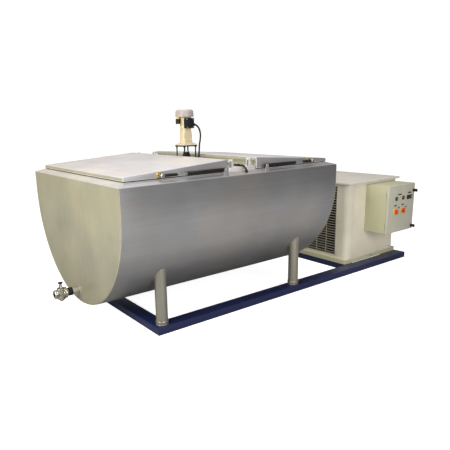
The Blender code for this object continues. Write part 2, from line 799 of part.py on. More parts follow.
def build_drive():
    """Stand, gearbox, motor, cowl and terminal box, above the bridge."""
    foot = BRIDGE_TOP + CLEAR
    stand = add(
        "motor_stand",
        boxes(
            (
                (DRIVE_X - STAND_HALF, -STAND_HALF, STAND_TOP - STAND_PLATE),
                (DRIVE_X + STAND_HALF, STAND_HALF, STAND_TOP),
            )
        ),
        "black_plastic",
    )
    for i, (dx, dy) in enumerate(((-1, -1), (1, -1), (-1, 1), (1, 1))):
        x, y = DRIVE_X + dx * LEG_PITCH, dy * LEG_PITCH
        join(stand, rod((x, y, foot), (x, y, STAND_TOP - 0.003), 0.005, 12), f"leg_{i}")
    cut(stand, rod((DRIVE_X, 0, 1.0), (DRIVE_X, 0, 1.2), 0.030), "shaft_hole")

    flange = STAND_TOP + CLEAR
    gearbox = add(
        "gearbox",
        boxes(
            ((DRIVE_X - 0.058, -0.058, flange), (DRIVE_X + 0.058, 0.058, flange + 0.007))
        ),
        "motor_cream",
    )
    skirt = frustum(
        (DRIVE_X - 0.056, -0.056, flange + 0.005),
        (DRIVE_X + 0.056, 0.056, flange + 0.007),
        flange + 0.024,
        0.018,
    )
    join(gearbox, skirt, "skirt")
    case = prism(
        rounded_rectangle((DRIVE_X - 0.038, DRIVE_X + 0.038), (-0.030, 0.030), 0.006, 3),
        "Z",
        flange + 0.018,
        1.205,
    )
    join(gearbox, case, "case")
    cut(gearbox, rod((DRIVE_X, 0, 1.1), (DRIVE_X, 0, 1.165), SHAFT_RADIUS + 0.0005), "bore")

    body = prism(
        rounded_rectangle((DRIVE_X - 0.0375, DRIVE_X + 0.0375), (-0.029, 0.029), 0.010, 4),
        "Z",
        1.205 + CLEAR,
        1.3260,
    )
    add("motor_housing", body, "motor_cream")
    cowl_x = DRIVE_X - 0.006
    profile = [
        (0, MOTOR_TOP),
        (0.054, MOTOR_TOP),
        (0.062, MOTOR_TOP - 0.006),
        (0.065, MOTOR_TOP - 0.016),
        (0.065, 1.3263),
        (0, 1.3263),
    ]
    add("fan_cowl", turned(profile, (cowl_x, 0, 0), (0, 0, 1)), "cowl_white")
    terminal = boxes(((DRIVE_X - 0.034, -0.062, 1.246), (DRIVE_X + 0.037, -0.0293, 1.319)), bevel=0.004)
    add("terminal_box", terminal, "black_plastic")

    seal = [
        (0.018, 1.083),
        (0.044, 1.050),
        (0.047, foot),
        (SHAFT_RADIUS + 0.0006, foot),
        (SHAFT_RADIUS + 0.0006, 1.083),
    ]
    add("shaft_seal", turned(seal, (DRIVE_X, 0, 0), (0, 0, 1), loop=True), "black_rubber")


CABLE_ROUTE = (
    (0.953, -0.046, 1.272),
    (0.975, -0.048, 1.268),
    (0.998, -0.052, 1.243),
    (1.008, -0.055, 1.205),
    (1.002, -0.060, 1.165),
    (0.991, -0.064, 1.127),
    (0.985, -0.067, 1.085),
    (0.975, -0.074, 1.040),
    (0.962, -0.090, 1.0155),
    (0.950, -0.125, 1.0085),
    (0.936, -0.200, 1.0085),
    (0.926, -0.320, 1.0085),
    (0.921, -0.450, 1.0085),
    (0.920, -0.560, 1.0085),
    (0.920, -0.606, 1.0090),
    (0.920, -0.632, 1.0070),
    (0.921, -0.650, 0.9950),
    (0.922, -0.662, 0.9800),
)


def build_cable():
    """The drive's lead: out of the terminal box, down the stand and along the bridge to the rim."""
    add("motor_cable", tube(smooth_route(CABLE_ROUTE, 0.022), CABLE_RADIUS), "black_rubber")


def build_agitator():
    """Shaft and two-bladed paddle, which turn together."""
    base = (DRIVE_X, 0, 0)
    shaft = rod((DRIVE_X, 0, SHAFT_LOW), (DRIVE_X, 0, 1.160), SHAFT_RADIUS)
    obj = add("agitator_shaft", shaft, "polished_steel")
    set_origin(obj, base)
    hub_profile = [
        (0.022, PADDLE_HIGH - 0.010),
        (0.022, PADDLE_LOW + 0.010),
        (SHAFT_RADIUS + CLEAR, PADDLE_LOW + 0.010),
        (SHAFT_RADIUS + CLEAR, PADDLE_HIGH - 0.010),
    ]
    paddle = add("agitator_paddle", turned(hub_profile, base, (0, 0, 1), loop=True), "polished_steel")
    blades = bmesh.new()
    for side in (-1, 1):
        x0, x1 = sorted((side * 0.018, side * PADDLE_RADIUS))
        blade = boxes(((x0, -0.002, PADDLE_LOW), (x1, 0.002, PADDLE_HIGH)))
        tilt = Matrix.Rotation(math.radians(35 * side), 4, "X")
        middle = Vector((0, 0, (PADDLE_LOW + PADDLE_HIGH) / 2))
        blade.transform(Matrix.Translation(middle) @ tilt @ Matrix.Translation(-middle))
        blade.transform(Matrix.Translation(base))
        blades.from_mesh(blade)
    join(paddle, finished(blades), "blades")
    set_origin(paddle, base)


def build_outlet():
    """Pipe from the vessel, union, plug valve and its black cap."""
    line = (1, 0, 0)
    pipe = [
        (OUTLET_PIPE_RADIUS, VESSEL_END - VESSEL_WALL - CLEAR),
        (OUTLET_PIPE_RADIUS, -0.088),
        (OUTLET_BORE, -0.088),
        (OUTLET_BORE, VESSEL_END - VESSEL_WALL - CLEAR),
    ]
    start = (0, 0, OUTLET_Z)
    add("outlet_pipe", turned(pipe, start, line, loop=True), "polished_steel")
    nut = [
        (0.0275, -0.051),
        (0.0275, -0.079),
        (0.0245, -0.082),
        (OUTLET_PIPE_RADIUS + CLEAR, -0.082),
        (OUTLET_PIPE_RADIUS + CLEAR, -0.051),
    ]
    add("outlet_union_nut", turned(nut, start, line, loop=True), "black_plastic")

    body = [
        (0, -0.0885),
        (0.034, -0.0885),
        (0.037, -0.091),
        (0.037, -0.101),
        (0.030, -0.104),
        (0.024, -0.108),
        (0.024, -0.146),
        (0.029, -0.152),
        (0.030, -0.168),
        (0.027, VALVE_END_X),
        (0, VALVE_END_X),
    ]
    valve = add("valve_body", turned(body, start, line), "valve_chrome")
    barrel = rod((VALVE_X, 0, OUTLET_Z - 0.0365), (VALVE_X, 0, OUTLET_Z + 0.0365), 0.0265)
    join(valve, barrel, "barrel")
    through = rod((VALVE_END_X - 0.01, 0, OUTLET_Z), (-0.08, 0, OUTLET_Z), VALVE_BORE)
    seat = rod(
        (VALVE_X, 0, OUTLET_Z - 0.05),
        (VALVE_X, 0, OUTLET_Z + 0.05),
        PLUG_RADIUS + PLUG_CLEAR,
    )
    cut(valve, seat, "seat")
    cut(valve, through, "through")

    knob_low = OUTLET_Z + 0.0695
    plug_profile = [
        (0, knob_low - CLEAR),
        (0.0095, knob_low - CLEAR),
        (0.0095, OUTLET_Z + 0.0395),
        (0.0225, OUTLET_Z + 0.0395),
        (0.0225, OUTLET_Z + 0.0375),
        (PLUG_RADIUS, OUTLET_Z + 0.0375),
        (PLUG_RADIUS, OUTLET_Z - 0.0385),
        (0.0225, OUTLET_Z - 0.0385),
        (0.0225, OUTLET_Z - 0.0410),
        (0.0120, OUTLET_Z - 0.0410),
        (0.0120, OUTLET_Z - 0.0520),
        (0, OUTLET_Z - 0.0520),
    ]
    plug = add("valve_plug", turned(plug_profile, (VALVE_X, 0, 0), (0, 0, 1)), "valve_chrome")
    port = rod((VALVE_X, -0.03, OUTLET_Z), (VALVE_X, 0.03, OUTLET_Z), 0.0135, SMALL_SIDES)
    cut(plug, port, "port")
    set_origin(plug, (VALVE_X, 0, OUTLET_Z))
    knob = prism(
        rounded_rectangle((VALVE_X - 0.016, VALVE_X + 0.016), (-0.010, 0.010), 0.006, 3),
        "Z",
        knob_low,
        knob_low + 0.009,
    )
    obj = add("valve_knob", knob, "black_plastic")
    set_origin(obj, (VALVE_X, 0, OUTLET_Z))


def build_tray():
    floor = BEAM_HEIGHT + CLEAR
    tray = add(
        "unit_tray",
        boxes(((TRAY_X[0], -TRAY_HALF_WIDTH, floor), (TRAY_X[1], TRAY_HALF_WIDTH, TRAY_TOP))),
        "cabinet_cream",
    )
    wall = 0.003
    under = boxes(
        (
            (TRAY_X[0] + wall, -TRAY_HALF_WIDTH + wall, 0),
            (TRAY_X[1] - wall, TRAY_HALF_WIDTH - wall, TRAY_TOP - wall),
        )
    )
    cut(tray, under, "under")


def build_cabinet():
    x_range, y_range = UNIT_X, (-UNIT_HALF_WIDTH, UNIT_HALF_WIDTH)
    inner_x = (x_range[0] + SHEET, x_range[1] - SHEET)
    inner_y = (y_range[0] + SHEET, y_range[1] - SHEET)
    outline = rounded_rectangle(x_range, y_range, UNIT_CORNER)
    inside = rounded_rectangle(inner_x, inner_y, UNIT_CORNER - SHEET)
    base = TRAY_TOP + CLEAR
    cabinet = add(
        "cabinet", prism(outline, "Z", base, UNIT_TOP, holes=(inside,)), "cabinet_cream"
    )
    gap = 0.0008
    window = boxes(
        (
            (UNIT_X[0] - 0.01, -GRILLE_HALF - gap, GRILLE_Z[0] - gap),
            (UNIT_X[0] + 0.01, GRILLE_HALF + gap, GRILLE_Z[1] + gap),
        )
    )
    cut(cabinet, window, "grille_window")
    slots = [
        ((UNIT_X[1] - 0.01, y - 0.14, z), (UNIT_X[1] + 0.01, y + 0.14, z + 0.012))
        for y in (-0.17, 0.17)
        for z in [0.24 + 0.045 * i for i in range(9)]
    ]
    cut(cabinet, boxes(*slots), "louvres")
    for label, (y, z), radius in (
        ("suction_hole", SUCTION_ENTRY, SUCTION_RADIUS),
        ("liquid_hole", LIQUID_ENTRY, LIQUID_RADIUS),
    ):
        cut(cabinet, line_holes(y, z, radius + 0.001, (2.21, 2.24)), label)
    lid = rounded_rectangle(
        (x_range[0] - TOP_OVERHANG + 0.004, x_range[1] + TOP_OVERHANG - 0.004),
        (y_range[0] - TOP_OVERHANG, y_range[1] + TOP_OVERHANG),
        UNIT_CORNER * 0.5,
    )
    low = UNIT_TOP + CLEAR
    top = add("cabinet_top", prism(lid, "Z", low, low + TOP_PLATE), "cabinet_cream")
    margin = 0.010
    hollow = rounded_rectangle(
        (x_range[0] + margin, x_range[1] - margin),
        (y_range[0] + margin, y_range[1] - margin),
        UNIT_CORNER - margin,
    )
    cut(top, prism(hollow, "Z", low - 0.01, low + TOP_PLATE - SHEET), "hollow")


def build_grille():
    x = (UNIT_X[0] + CLEAR, UNIT_X[0] + 0.0033)
    frame = ((x[0], -GRILLE_HALF, GRILLE_Z[0]), (x[1], GRILLE_HALF, GRILLE_Z[1]))
    grille = add("condenser_grille", boxes(frame), "cabinet_cream")
    columns, rows = 5, 13
    pitch_y = 2 * GRILLE_HALF / columns
    pitch_z = (GRILLE_Z[1] - GRILLE_Z[0]) / rows
    slots = []
    for column in range(columns):
        for row in range(rows):
            y = -GRILLE_HALF + column * pitch_y
            z = GRILLE_Z[0] + row * pitch_z
            low = (x[0] - 0.01, y + 0.006, z + 0.010)
            high = (x[1] + 0.01, y + pitch_y - 0.006, z + pitch_z - 0.010)
            slots.append((low, high))
    cut(grille, boxes(*slots), "slots")


def build_condenser():
    coil = boxes(((2.240, -0.350, 0.120), (2.284, 0.350, 0.710)))
    add("condenser_coil", coil, "coil_aluminium")
    plate_x = (2.290, 2.293)
    shroud = add(
        "fan_shroud", boxes(((plate_x[0], -0.350, 0.120), (plate_x[1], 0.350, 0.710))), "cabinet_cream"
    )
    ring_out, ring_in = FAN_RADIUS + 0.014, FAN_RADIUS + 0.010
    ring = rod((plate_x[0] + 0.001, 0, FAN_Z), (2.330, 0, FAN_Z), ring_out, 32)
    join(shroud, ring, "ring")
    cut(shroud, rod((2.28, 0, FAN_Z), (2.34, 0, FAN_Z), ring_in, 32), "throat")
    bar_x = (2.412, 2.420)
    bar = boxes(
        ((bar_x[0], -0.300, FAN_Z - 0.012), (bar_x[1], 0.300, FAN_Z + 0.012)),
    )
    posts = [
        boxes(((plate_x[0] + 0.001, y - 0.005, FAN_Z - 0.012), (bar_x[1], y + 0.005, FAN_Z + 0.012)))
        for y in (-0.295, 0.295)
    ]
    motor = rod((2.396, 0, FAN_Z), (2.465, 0, FAN_Z), 0.042)
    join(shroud, merged(bar, *posts, motor), "motor_mount")

    hub_span = (FAN_X - 0.020, FAN_X + 0.026)
    fan = add("condenser_fan", rod((hub_span[0], 0, FAN_Z), (hub_span[1], 0, FAN_Z), 0.040), "black_plastic")
    for i in range(FAN_BLADES):
        blade = boxes(((-0.0015, -0.055, 0.030), (0.0015, 0.055, FAN_RADIUS)))
        place = (
            Matrix.Translation((FAN_X, 0, FAN_Z))
            @ Matrix.Rotation(math.radians(360 / FAN_BLADES * i), 4, "X")
            @ Matrix.Rotation(math.radians(24), 4, "Z")
        )
        blade.transform(place)
        join(fan, blade, f"blade_{i}")
    trim = turned(
        [
            (0.40, FAN_X + 0.06),
            (0.40, FAN_X - 0.06),
            (FAN_RADIUS, FAN_X - 0.06),
            (FAN_RADIUS, FAN_X + 0.06),
        ],
        (0, 0, FAN_Z),
        (1, 0, 0),
        32,
        loop=True,
    )
    cut(fan, trim, "trim")
    set_origin(fan, (FAN_X, 0, FAN_Z))


def build_compressor():
    floor = TRAY_TOP + CLEAR
    x, y = 2.700, -0.120
    profile = [
        (0, floor + 0.290),
        (0.050, floor + 0.284),
        (0.082, floor + 0.262),
        (0.098, floor + 0.225),
        (0.100, floor + 0.190),
        (0.104, floor + 0.186),
        (0.104, floor + 0.178),
        (0.100, floor + 0.174),
        (0.100, floor + 0.070),
        (0.085, floor + 0.030),
        (0, floor + 0.018),
    ]
    obj = add("compressor", turned(profile, (x, y, 0), (0, 0, 1)), "compressor_black")
    pad = boxes(((x - 0.115, y - 0.115, floor), (x + 0.115, y + 0.115, floor + 0.026)))
    join(obj, pad, "feet")


def build_lines():
    """Suction and liquid pipes between the evaporator and the condensing unit."""
    sy, sz = SUCTION_EXIT
    ey, ez = SUCTION_ENTRY
    suction = (
        (1.603, sy, sz),
        (1.700, sy, sz),
        (1.800, sy, sz),
        (1.860, sy, sz),
        (1.920, sy + 0.03, sz - 0.008),
        (2.020, ey - 0.05, ez + 0.012),
        (2.100, ey - 0.006, ez),
        (2.160, ey, ez),
        (2.240, ey, ez),
        (2.400, ey, ez),
        (2.520, ey - 0.020, ez + 0.010),
        (2.600, ey - 0.120, ez + 0.045),
        (2.660, ey - 0.280, ez + 0.080),
        (2.690, ey - 0.380, ez + 0.090),
        (2.697, ey - 0.4120, ez + 0.092),
    )
    add("suction_line", tube(smooth_route(suction, 0.040), SUCTION_RADIUS), "copper_line")
    ly, lz = LIQUID_EXIT
    my, mz = LIQUID_ENTRY
    liquid = (
        (1.603, ly, lz),
        (1.700, ly, lz),
        (1.800, ly, lz),
        (1.860, ly, lz),
        (1.930, ly + 0.03, lz - 0.003),
        (2.030, my - 0.035, mz + 0.004),
        (2.100, my - 0.004, mz),
        (2.160, my, mz),
        (2.230, my, mz),
        (2.262, my - 0.004, mz),
        (2.276, my - 0.022, mz),
        (2.272, my - 0.0455, mz),
    )
    add("liquid_line", tube(smooth_route(liquid, 0.030), LIQUID_RADIUS), "copper_line")


def build_control_box():
    back = -UNIT_HALF_WIDTH - CLEAR
    shell = add(
        "control_box",
        boxes(((BOX_X[0], BOX_FRONT, BOX_Z[0]), (BOX_X[1], back, BOX_Z[1]))),
        "cabinet_cream",
    )
    inside = boxes(
        (
            (BOX_X[0] + SHEET, BOX_FRONT - 0.01, BOX_Z[0] + SHEET),
            (BOX_X[1] - SHEET, back - SHEET, BOX_Z[1] - SHEET),
        )
    )
    cut(shell, inside, "inside")
    mount = back - SHEET - CLEAR
    plate = boxes(((2.490, mount - 0.003, 0.350), (2.816, mount, 0.695)))
    gear = add("control_gear", plate, "milky_gear")
    blocks = [
        boxes(((x0, mount - depth, z0), (x1, mount - 0.001, z1)))
        for x0, x1, z0, z1, depth in (
            (2.520, 2.600, 0.560, 0.660, 0.075),
            (2.620, 2.690, 0.565, 0.655, 0.060),
            (2.710, 2.790, 0.560, 0.660, 0.050),
            (2.520, 2.790, 0.400, 0.440, 0.040),
        )
    ]
    join(gear, merged(*blocks), "blocks")


def build_door():
    hinge = (BOX_X[0], DOOR_BACK + 0.001, 0)
    low = (BOX_X[0], DOOR_FRONT, BOX_Z[0])
    high = (BOX_X[1], DOOR_BACK, BOX_Z[1])
    door = add("control_door", boxes((low, high)), "cabinet_cream")
    inside = boxes(
        (
            (BOX_X[0] + SHEET, DOOR_FRONT + SHEET, BOX_Z[0] + SHEET),
            (BOX_X[1] - SHEET, DOOR_BACK + 0.01, BOX_Z[1] - SHEET),
        )
    )
    cut(door, inside, "inside")
    skin = DOOR_FRONT + 0.001
    for i, x in enumerate(SWITCH_SPOTS):
        half = SWITCH_PLATE
        pad = boxes(((x - half, DOOR_FRONT - 0.005, SWITCH_Z - half), (x + half, skin, SWITCH_Z + half)))
        join(door, pad, f"switch_plate_{i}")
        cut(door, door_hole(x, SWITCH_Z, 0.0055), f"switch_hole_{i}")
    for i, x in enumerate(BUTTON_SPOTS):
        bezel = rod((x, DOOR_FRONT - 0.005, BUTTON_Z), (x, skin, BUTTON_Z), 0.0155)
        join(door, bezel, f"bezel_{i}")
        cut(door, door_hole(x, BUTTON_Z, BUTTON_RADIUS + 0.0005), f"button_hole_{i}")
    display = boxes(
        (
            (DISPLAY_X - 0.039, DOOR_FRONT - 0.005, DISPLAY_Z - 0.0175),
            (DISPLAY_X + 0.039, skin, DISPLAY_Z + 0.0175),
        )
    )
    join(door, display, "display")
    for i, z in enumerate(LOCK_Z):
        cut(door, door_hole(LOCK_X, z, 0.0050), f"lock_hole_{i}")
    set_origin(door, hinge)


def door_hole(x, z, radius):
    return rod((x, DOOR_FRONT - 0.02, z), (x, DOOR_BACK + 0.02, z), radius, SMALL_SIDES)


def build_door_fittings():
    for name, z in zip(("upper_door_lock", "lower_door_lock"), LOCK_Z):
        front = DOOR_FRONT - CLEAR
        spindle = DOOR_FRONT + 0.012
        profile = [
            (0, 0),
            (0.0125, 0.001),
            (0.0135, 0.004),
            (0.0135, front - LOCK_FRONT - 0.004),
            (0.0100, front - LOCK_FRONT),
            (0.0045, front - LOCK_FRONT),
            (0.0045, spindle - LOCK_FRONT),
            (0, spindle - LOCK_FRONT),
        ]
        knob = turned(profile, (LOCK_X, LOCK_FRONT, z), (0, 1, 0), SMALL_SIDES)
        obj = add(name, knob, "black_plastic")
        tongue = boxes(((LOCK_X - 0.005, spindle - 0.005, z - 0.006), (LOCK_X + 0.016, spindle - 0.001, z + 0.006)))
        join(obj, tongue, "tongue")
        set_origin(obj, (LOCK_X, DOOR_FRONT, z))
    for name, x in zip(("left_switch", "right_switch"), SWITCH_SPOTS):
        face = DOOR_FRONT - 0.005 - CLEAR
        disc = rod((x, face, SWITCH_Z), (x, face - 0.006, SWITCH_Z), 0.019)
        obj = add(name, disc, "red_handle")
        grip = boxes(((x - 0.0065, face - 0.021, SWITCH_Z - 0.020), (x + 0.0065, face - 0.004, SWITCH_Z + 0.020)))
        join(obj, grip, "grip")
        stem = rod((x, face - 0.001, SWITCH_Z), (x, DOOR_FRONT + 0.010, SWITCH_Z), 0.005, SMALL_SIDES)
        join(obj, stem, "stem")
        set_origin(obj, (x, DOOR_FRONT, SWITCH_Z))
    for name, x, finish in zip(("start_button", "stop_button"), BUTTON_SPOTS, ("green_cap", "red_cap")):
        profile = [
            (0, 0),
            (BUTTON_RADIUS - 0.002, 0),
            (BUTTON_RADIUS, 0.002),
            (BUTTON_RADIUS, 0.017),
            (0, 0.017),
        ]
        cap = turned(profile, (x, DOOR_FRONT - 0.011, BUTTON_Z), (0, 1, 0), SMALL_SIDES)
        obj = add(name, cap, finish)
        set_origin(obj, (x, DOOR_FRONT, BUTTON_Z))


def main():
    build_frame()
    build_legs()
    build_tank()
    build_rim()
    build_bridge()
    for (label, hinge_x, side), span in zip(strut_sides(), (LID_LEFT, LID_RIGHT)):
        build_lid(label, span, hinge_x)
        build_gasket(label, span, hinge_x)
        build_hinge_pin(label, hinge_x)
        build_strut(label, hinge_x, side)
    build_drive()
    build_cable()
    build_agitator()
    build_outlet()
    build_tray()
    build_cabinet()
    build_grille()
    build_condenser()
    build_compressor()
    build_lines()
    build_control_box()
    build_door()
    build_door_fittings()


main()
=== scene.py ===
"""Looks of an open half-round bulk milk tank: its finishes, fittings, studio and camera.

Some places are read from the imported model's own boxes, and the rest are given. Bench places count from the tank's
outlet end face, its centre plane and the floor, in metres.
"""

import sys

import logging
import math
from collections.abc import Iterable, Sequence
from dataclasses import dataclass, field
from enum import Enum

import bmesh
import bpy
from mathutils import Matrix, Vector


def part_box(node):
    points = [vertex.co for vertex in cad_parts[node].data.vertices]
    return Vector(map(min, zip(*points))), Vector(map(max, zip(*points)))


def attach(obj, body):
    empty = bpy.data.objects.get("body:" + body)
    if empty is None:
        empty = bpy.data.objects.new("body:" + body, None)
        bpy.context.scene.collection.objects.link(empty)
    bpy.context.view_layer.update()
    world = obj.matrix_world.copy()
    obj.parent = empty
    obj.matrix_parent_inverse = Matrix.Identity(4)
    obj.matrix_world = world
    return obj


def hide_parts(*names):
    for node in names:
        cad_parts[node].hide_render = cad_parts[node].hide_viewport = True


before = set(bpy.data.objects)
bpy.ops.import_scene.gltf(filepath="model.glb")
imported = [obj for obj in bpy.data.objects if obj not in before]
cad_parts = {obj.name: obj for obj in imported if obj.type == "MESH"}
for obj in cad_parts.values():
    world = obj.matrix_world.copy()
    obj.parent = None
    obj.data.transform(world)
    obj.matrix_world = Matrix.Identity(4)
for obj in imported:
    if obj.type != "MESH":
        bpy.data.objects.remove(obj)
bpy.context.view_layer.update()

LOG = logging.getLogger("bulk_milk_tank")
Point = tuple[float, float, float]
Colour = tuple[float, float, float]
Pair = tuple[float, float]
Shape = bmesh.types.BMesh
Socket = bpy.types.NodeSocket
UP, FAR, NEAR, ALONG = Vector((0, 0, 1)), Vector((0, 1, 0)), Vector((0, -1, 0)), Vector((1, 0, 0))


class Axis(Enum):
    """A direction of the row frame."""

    X = (1.0, 0.0, 0.0)
    Y = (0.0, 1.0, 0.0)
    Z = (0.0, 0.0, 1.0)


class Side(Enum):
    """Which way a lid and its strut run from the bridge."""

    LEFT = -1
    RIGHT = 1

    @property
    def label(self) -> str:
        """The side's word in node and body names."""
        return self.name.lower()


@dataclass(frozen=True)
class Span:
    """The box of a CAD node.

    Args:
        low: Its lowest corner.
        high: Its highest corner.
    """

    low: Vector
    high: Vector

    @classmethod
    def of(cls, node: str) -> "Span":
        """The box of the node named."""
        low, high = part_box(node)
        return cls(Vector(low), Vector(high))

    @property
    def centre(self) -> Vector:
        """The middle of the box."""
        return (self.low + self.high) / 2

    @property
    def size(self) -> Vector:
        """The lengths of its sides."""
        return self.high - self.low


JACKET = Span.of("outer_jacket")
DATUM = Vector((JACKET.low.x, JACKET.centre.y, 0.0))


def bench(x: float, y: float, z: float) -> Vector:
    """A bench place in the row frame."""
    return DATUM + Vector((x, y, z))


# ---------------------------------------------------------------- node trees


class Graph:
    """Adds and joins the nodes of one shader or geometry tree."""

    def __init__(self, tree: bpy.types.NodeTree) -> None:
        """Starts on an empty tree."""
        self.tree = tree

    def add(self, kind: str, inputs: dict | None = None, **settings: object) -> bpy.types.Node:
        """Adds a node.

        Args:
            kind: Blender's name of the node type.
            inputs: Socket names or numbers, with a value or an output socket for each.
            **settings: The node's own properties.

        Returns:
            The new node.
        """
        node = self.tree.nodes.new(kind)
        for name, value in settings.items():
            setattr(node, name, value)
        for key, value in (inputs or {}).items():
            if isinstance(value, Socket):
                self.tree.links.new(value, node.inputs[key])
            else:
                node.inputs[key].default_value = value
        return node


class Surface(Graph):
    """The shader tree of a finish, with the patterns that the finishes share."""

    def __init__(self, name: str) -> None:
        """Makes the material with its shader and its object coordinates."""
        self.material = bpy.data.materials.new(name)
        self.material.use_nodes = True
        super().__init__(self.material.node_tree)
        self.shader = self.tree.nodes["Principled BSDF"]
        self.place = self.add("ShaderNodeTexCoord").outputs["Object"]

    def noise(self, scale: float, detail: float = 3.0, stretch: Point = (1, 1, 1), rough: float = 0.55) -> Socket:
        """Noise over the object, drawn out along an axis where its stretch is small."""
        mapped = self.add("ShaderNodeMapping", {"Vector": self.place, "Scale": stretch})
        node = self.add(
            "ShaderNodeTexNoise",
            {"Vector": mapped.outputs[0], "Scale": scale, "Detail": detail, "Roughness": rough},
        )
        return node.outputs[0]

    def ramp(self, factor: Socket, stops: Sequence[tuple[float, Colour]]) -> Socket:
        """A colour read from a factor."""
        node = self.add("ShaderNodeValToRGB", {0: factor})
        elements = node.color_ramp.elements
        while len(elements) < len(stops):
            elements.new(0.5)
        for element, (place, colour) in zip(elements, stops):
            element.position = place
            element.color = (*colour, 1.0)
        return node.outputs[0]

    def scale_range(
        self, factor: Socket, low: float, high: float, start: float = 0.0, end: float = 1.0
    ) -> Socket:
        """A factor moved from start..end to low..high."""
        node = self.add(
            "ShaderNodeMapRange",
            {0: factor, 1: start, 2: end, 3: low, 4: high},
        )
        return node.outputs[0]

    def mix(self, factor: object, first: object, second: object, blend: str = "MIX") -> Socket:
        """Two colours mixed by a factor."""
        node = self.add("ShaderNodeMix", {0: factor, 6: first, 7: second}, data_type="RGBA", blend_type=blend)
        return node.outputs[2]

    def bump(self, height: Socket, distance: float, strength: float = 1.0, normal: Socket | None = None) -> Socket:
        """Relief of a given depth in metres."""
        inputs = {"Height": height, "Distance": distance, "Strength": strength}
        if normal is not None:
            inputs["Normal"] = normal
        return self.add("ShaderNodeBump", inputs).outputs[0]

    def attribute(self, name: str) -> Socket:
        """A number stored on the mesh."""
        return self.add("ShaderNodeAttribute", attribute_name=name).outputs["Fac"]

    def height_share(self, low: float, high: float) -> Socket:
        """How far up a point is, from 0 at low to 1 at high."""
        parts = self.add("ShaderNodeSeparateXYZ", {0: self.place})
        return self.scale_range(parts.outputs[2], 0.0, 1.0, low, high)

    def finish(self, **sockets: object) -> bpy.types.Material:
        """Sets or links the shader's sockets. Underscores in their names stand for spaces."""
        for name, value in sockets.items():
            socket = self.shader.inputs[name.replace("_", " ")]
            if isinstance(value, Socket):
                self.tree.links.new(value, socket)
            else:
                socket.default_value = value
        return self.material


# ---------------------------------------------------------------- finishes


def tint(colour: Colour, factor: float) -> Colour:
    """A colour made lighter or darker."""
    return tuple(min(1.0, part * factor) for part in colour)


@dataclass(frozen=True)
class Finish:
    """A surface finish, made once and shared.

    Args:
        name: The material's name.
        slot: The slot that it belongs to; not used.
        colour: Its middle colour.
    """

    name: str
    slot: str
    colour: Colour

    @property
    def material(self) -> bpy.types.Material:
        """The material, which is made the first time it's asked for."""
        return bpy.data.materials.get(self.name) or self.build(Surface(self.name))

    def build(self, surface: Surface) -> bpy.types.Material:
        """Builds the node tree."""
        raise NotImplementedError


@dataclass(frozen=True)
class SheetSteel(Finish):
    """Stainless sheet with a one-way grain, cloudy tone and faint wipe marks.

    Args:
        roughness: Middle roughness.
        grain: The axis that the grain runs along.
        metal: How metallic it is.
        painted_light_by_height: Factors on the colour at rising heights, which paint the shade and reflected light that
            fall on the sheet by height.
        waviness: How far the sheet is out of true, in metres.
        mottle: How far its cloudy tone strays from its colour.
    """

    roughness: float = 0.34
    grain: Axis = Axis.X
    metal: float = 1.0
    painted_light_by_height: tuple[Pair, ...] = ()
    waviness: float = 0.0012
    mottle: float = 0.10

    def build(self, surface: Surface) -> bpy.types.Material:
        """Grain from drawn-out noise, tone from wide clouds, and haze in the roughness."""
        along = self.grain.value
        stretch = tuple(0.012 if part else 1.0 for part in along)
        grain = surface.noise(420.0, 4.0, stretch, 0.7)
        wide_grain = surface.noise(60.0, 3.0, tuple(0.03 if part else 1.0 for part in along))
        cloud = surface.noise(2.4, 4.0)
        smear = surface.noise(9.0, 5.0, tuple(0.4 if part else 1.0 for part in along), 0.65)
        base = surface.ramp(
            cloud, ((0.30, tint(self.colour, 1.0 - self.mottle)), (0.70, tint(self.colour, 1.0 + 0.7 * self.mottle)))
        )
        patches = surface.ramp(surface.noise(2.6, 3.0), ((0.38, (0.95, 0.97, 1.0)), (0.62, (1.0, 0.97, 0.93))))
        base = surface.mix(0.8, base, patches, "MULTIPLY")
        streak = surface.ramp(wide_grain, ((0.35, (0.90, 0.90, 0.91)), (0.65, (1.0, 1.0, 1.0))))
        colour = surface.mix(0.55, base, streak, "MULTIPLY")
        fine = surface.ramp(grain, ((0.40, (0.93, 0.93, 0.93)), (0.60, (1.0, 1.0, 1.0))))
        colour = surface.mix(0.5, colour, fine, "MULTIPLY")
        # Painted shade and painted reflection: the colour is multiplied by factors that change with height.
        if self.painted_light_by_height:
            low, high = self.painted_light_by_height[0][0], self.painted_light_by_height[-1][0]
            share = surface.height_share(low, high)
            stops = [((z - low) / (high - low), (factor,) * 3) for z, factor in self.painted_light_by_height]
            colour = surface.mix(1.0, colour, surface.ramp(share, stops), "MULTIPLY")
        rough = surface.scale_range(smear, self.roughness - 0.05, self.roughness + 0.09, 0.3, 0.7)
        relief = surface.bump(grain, 0.00004, 0.35)
        relief = surface.bump(surface.noise(1.6, 2.0), self.waviness, 0.25, relief)
        return surface.finish(
            Base_Color=colour,
            Roughness=rough,
            Metallic=self.metal,
            Normal=relief,
        )


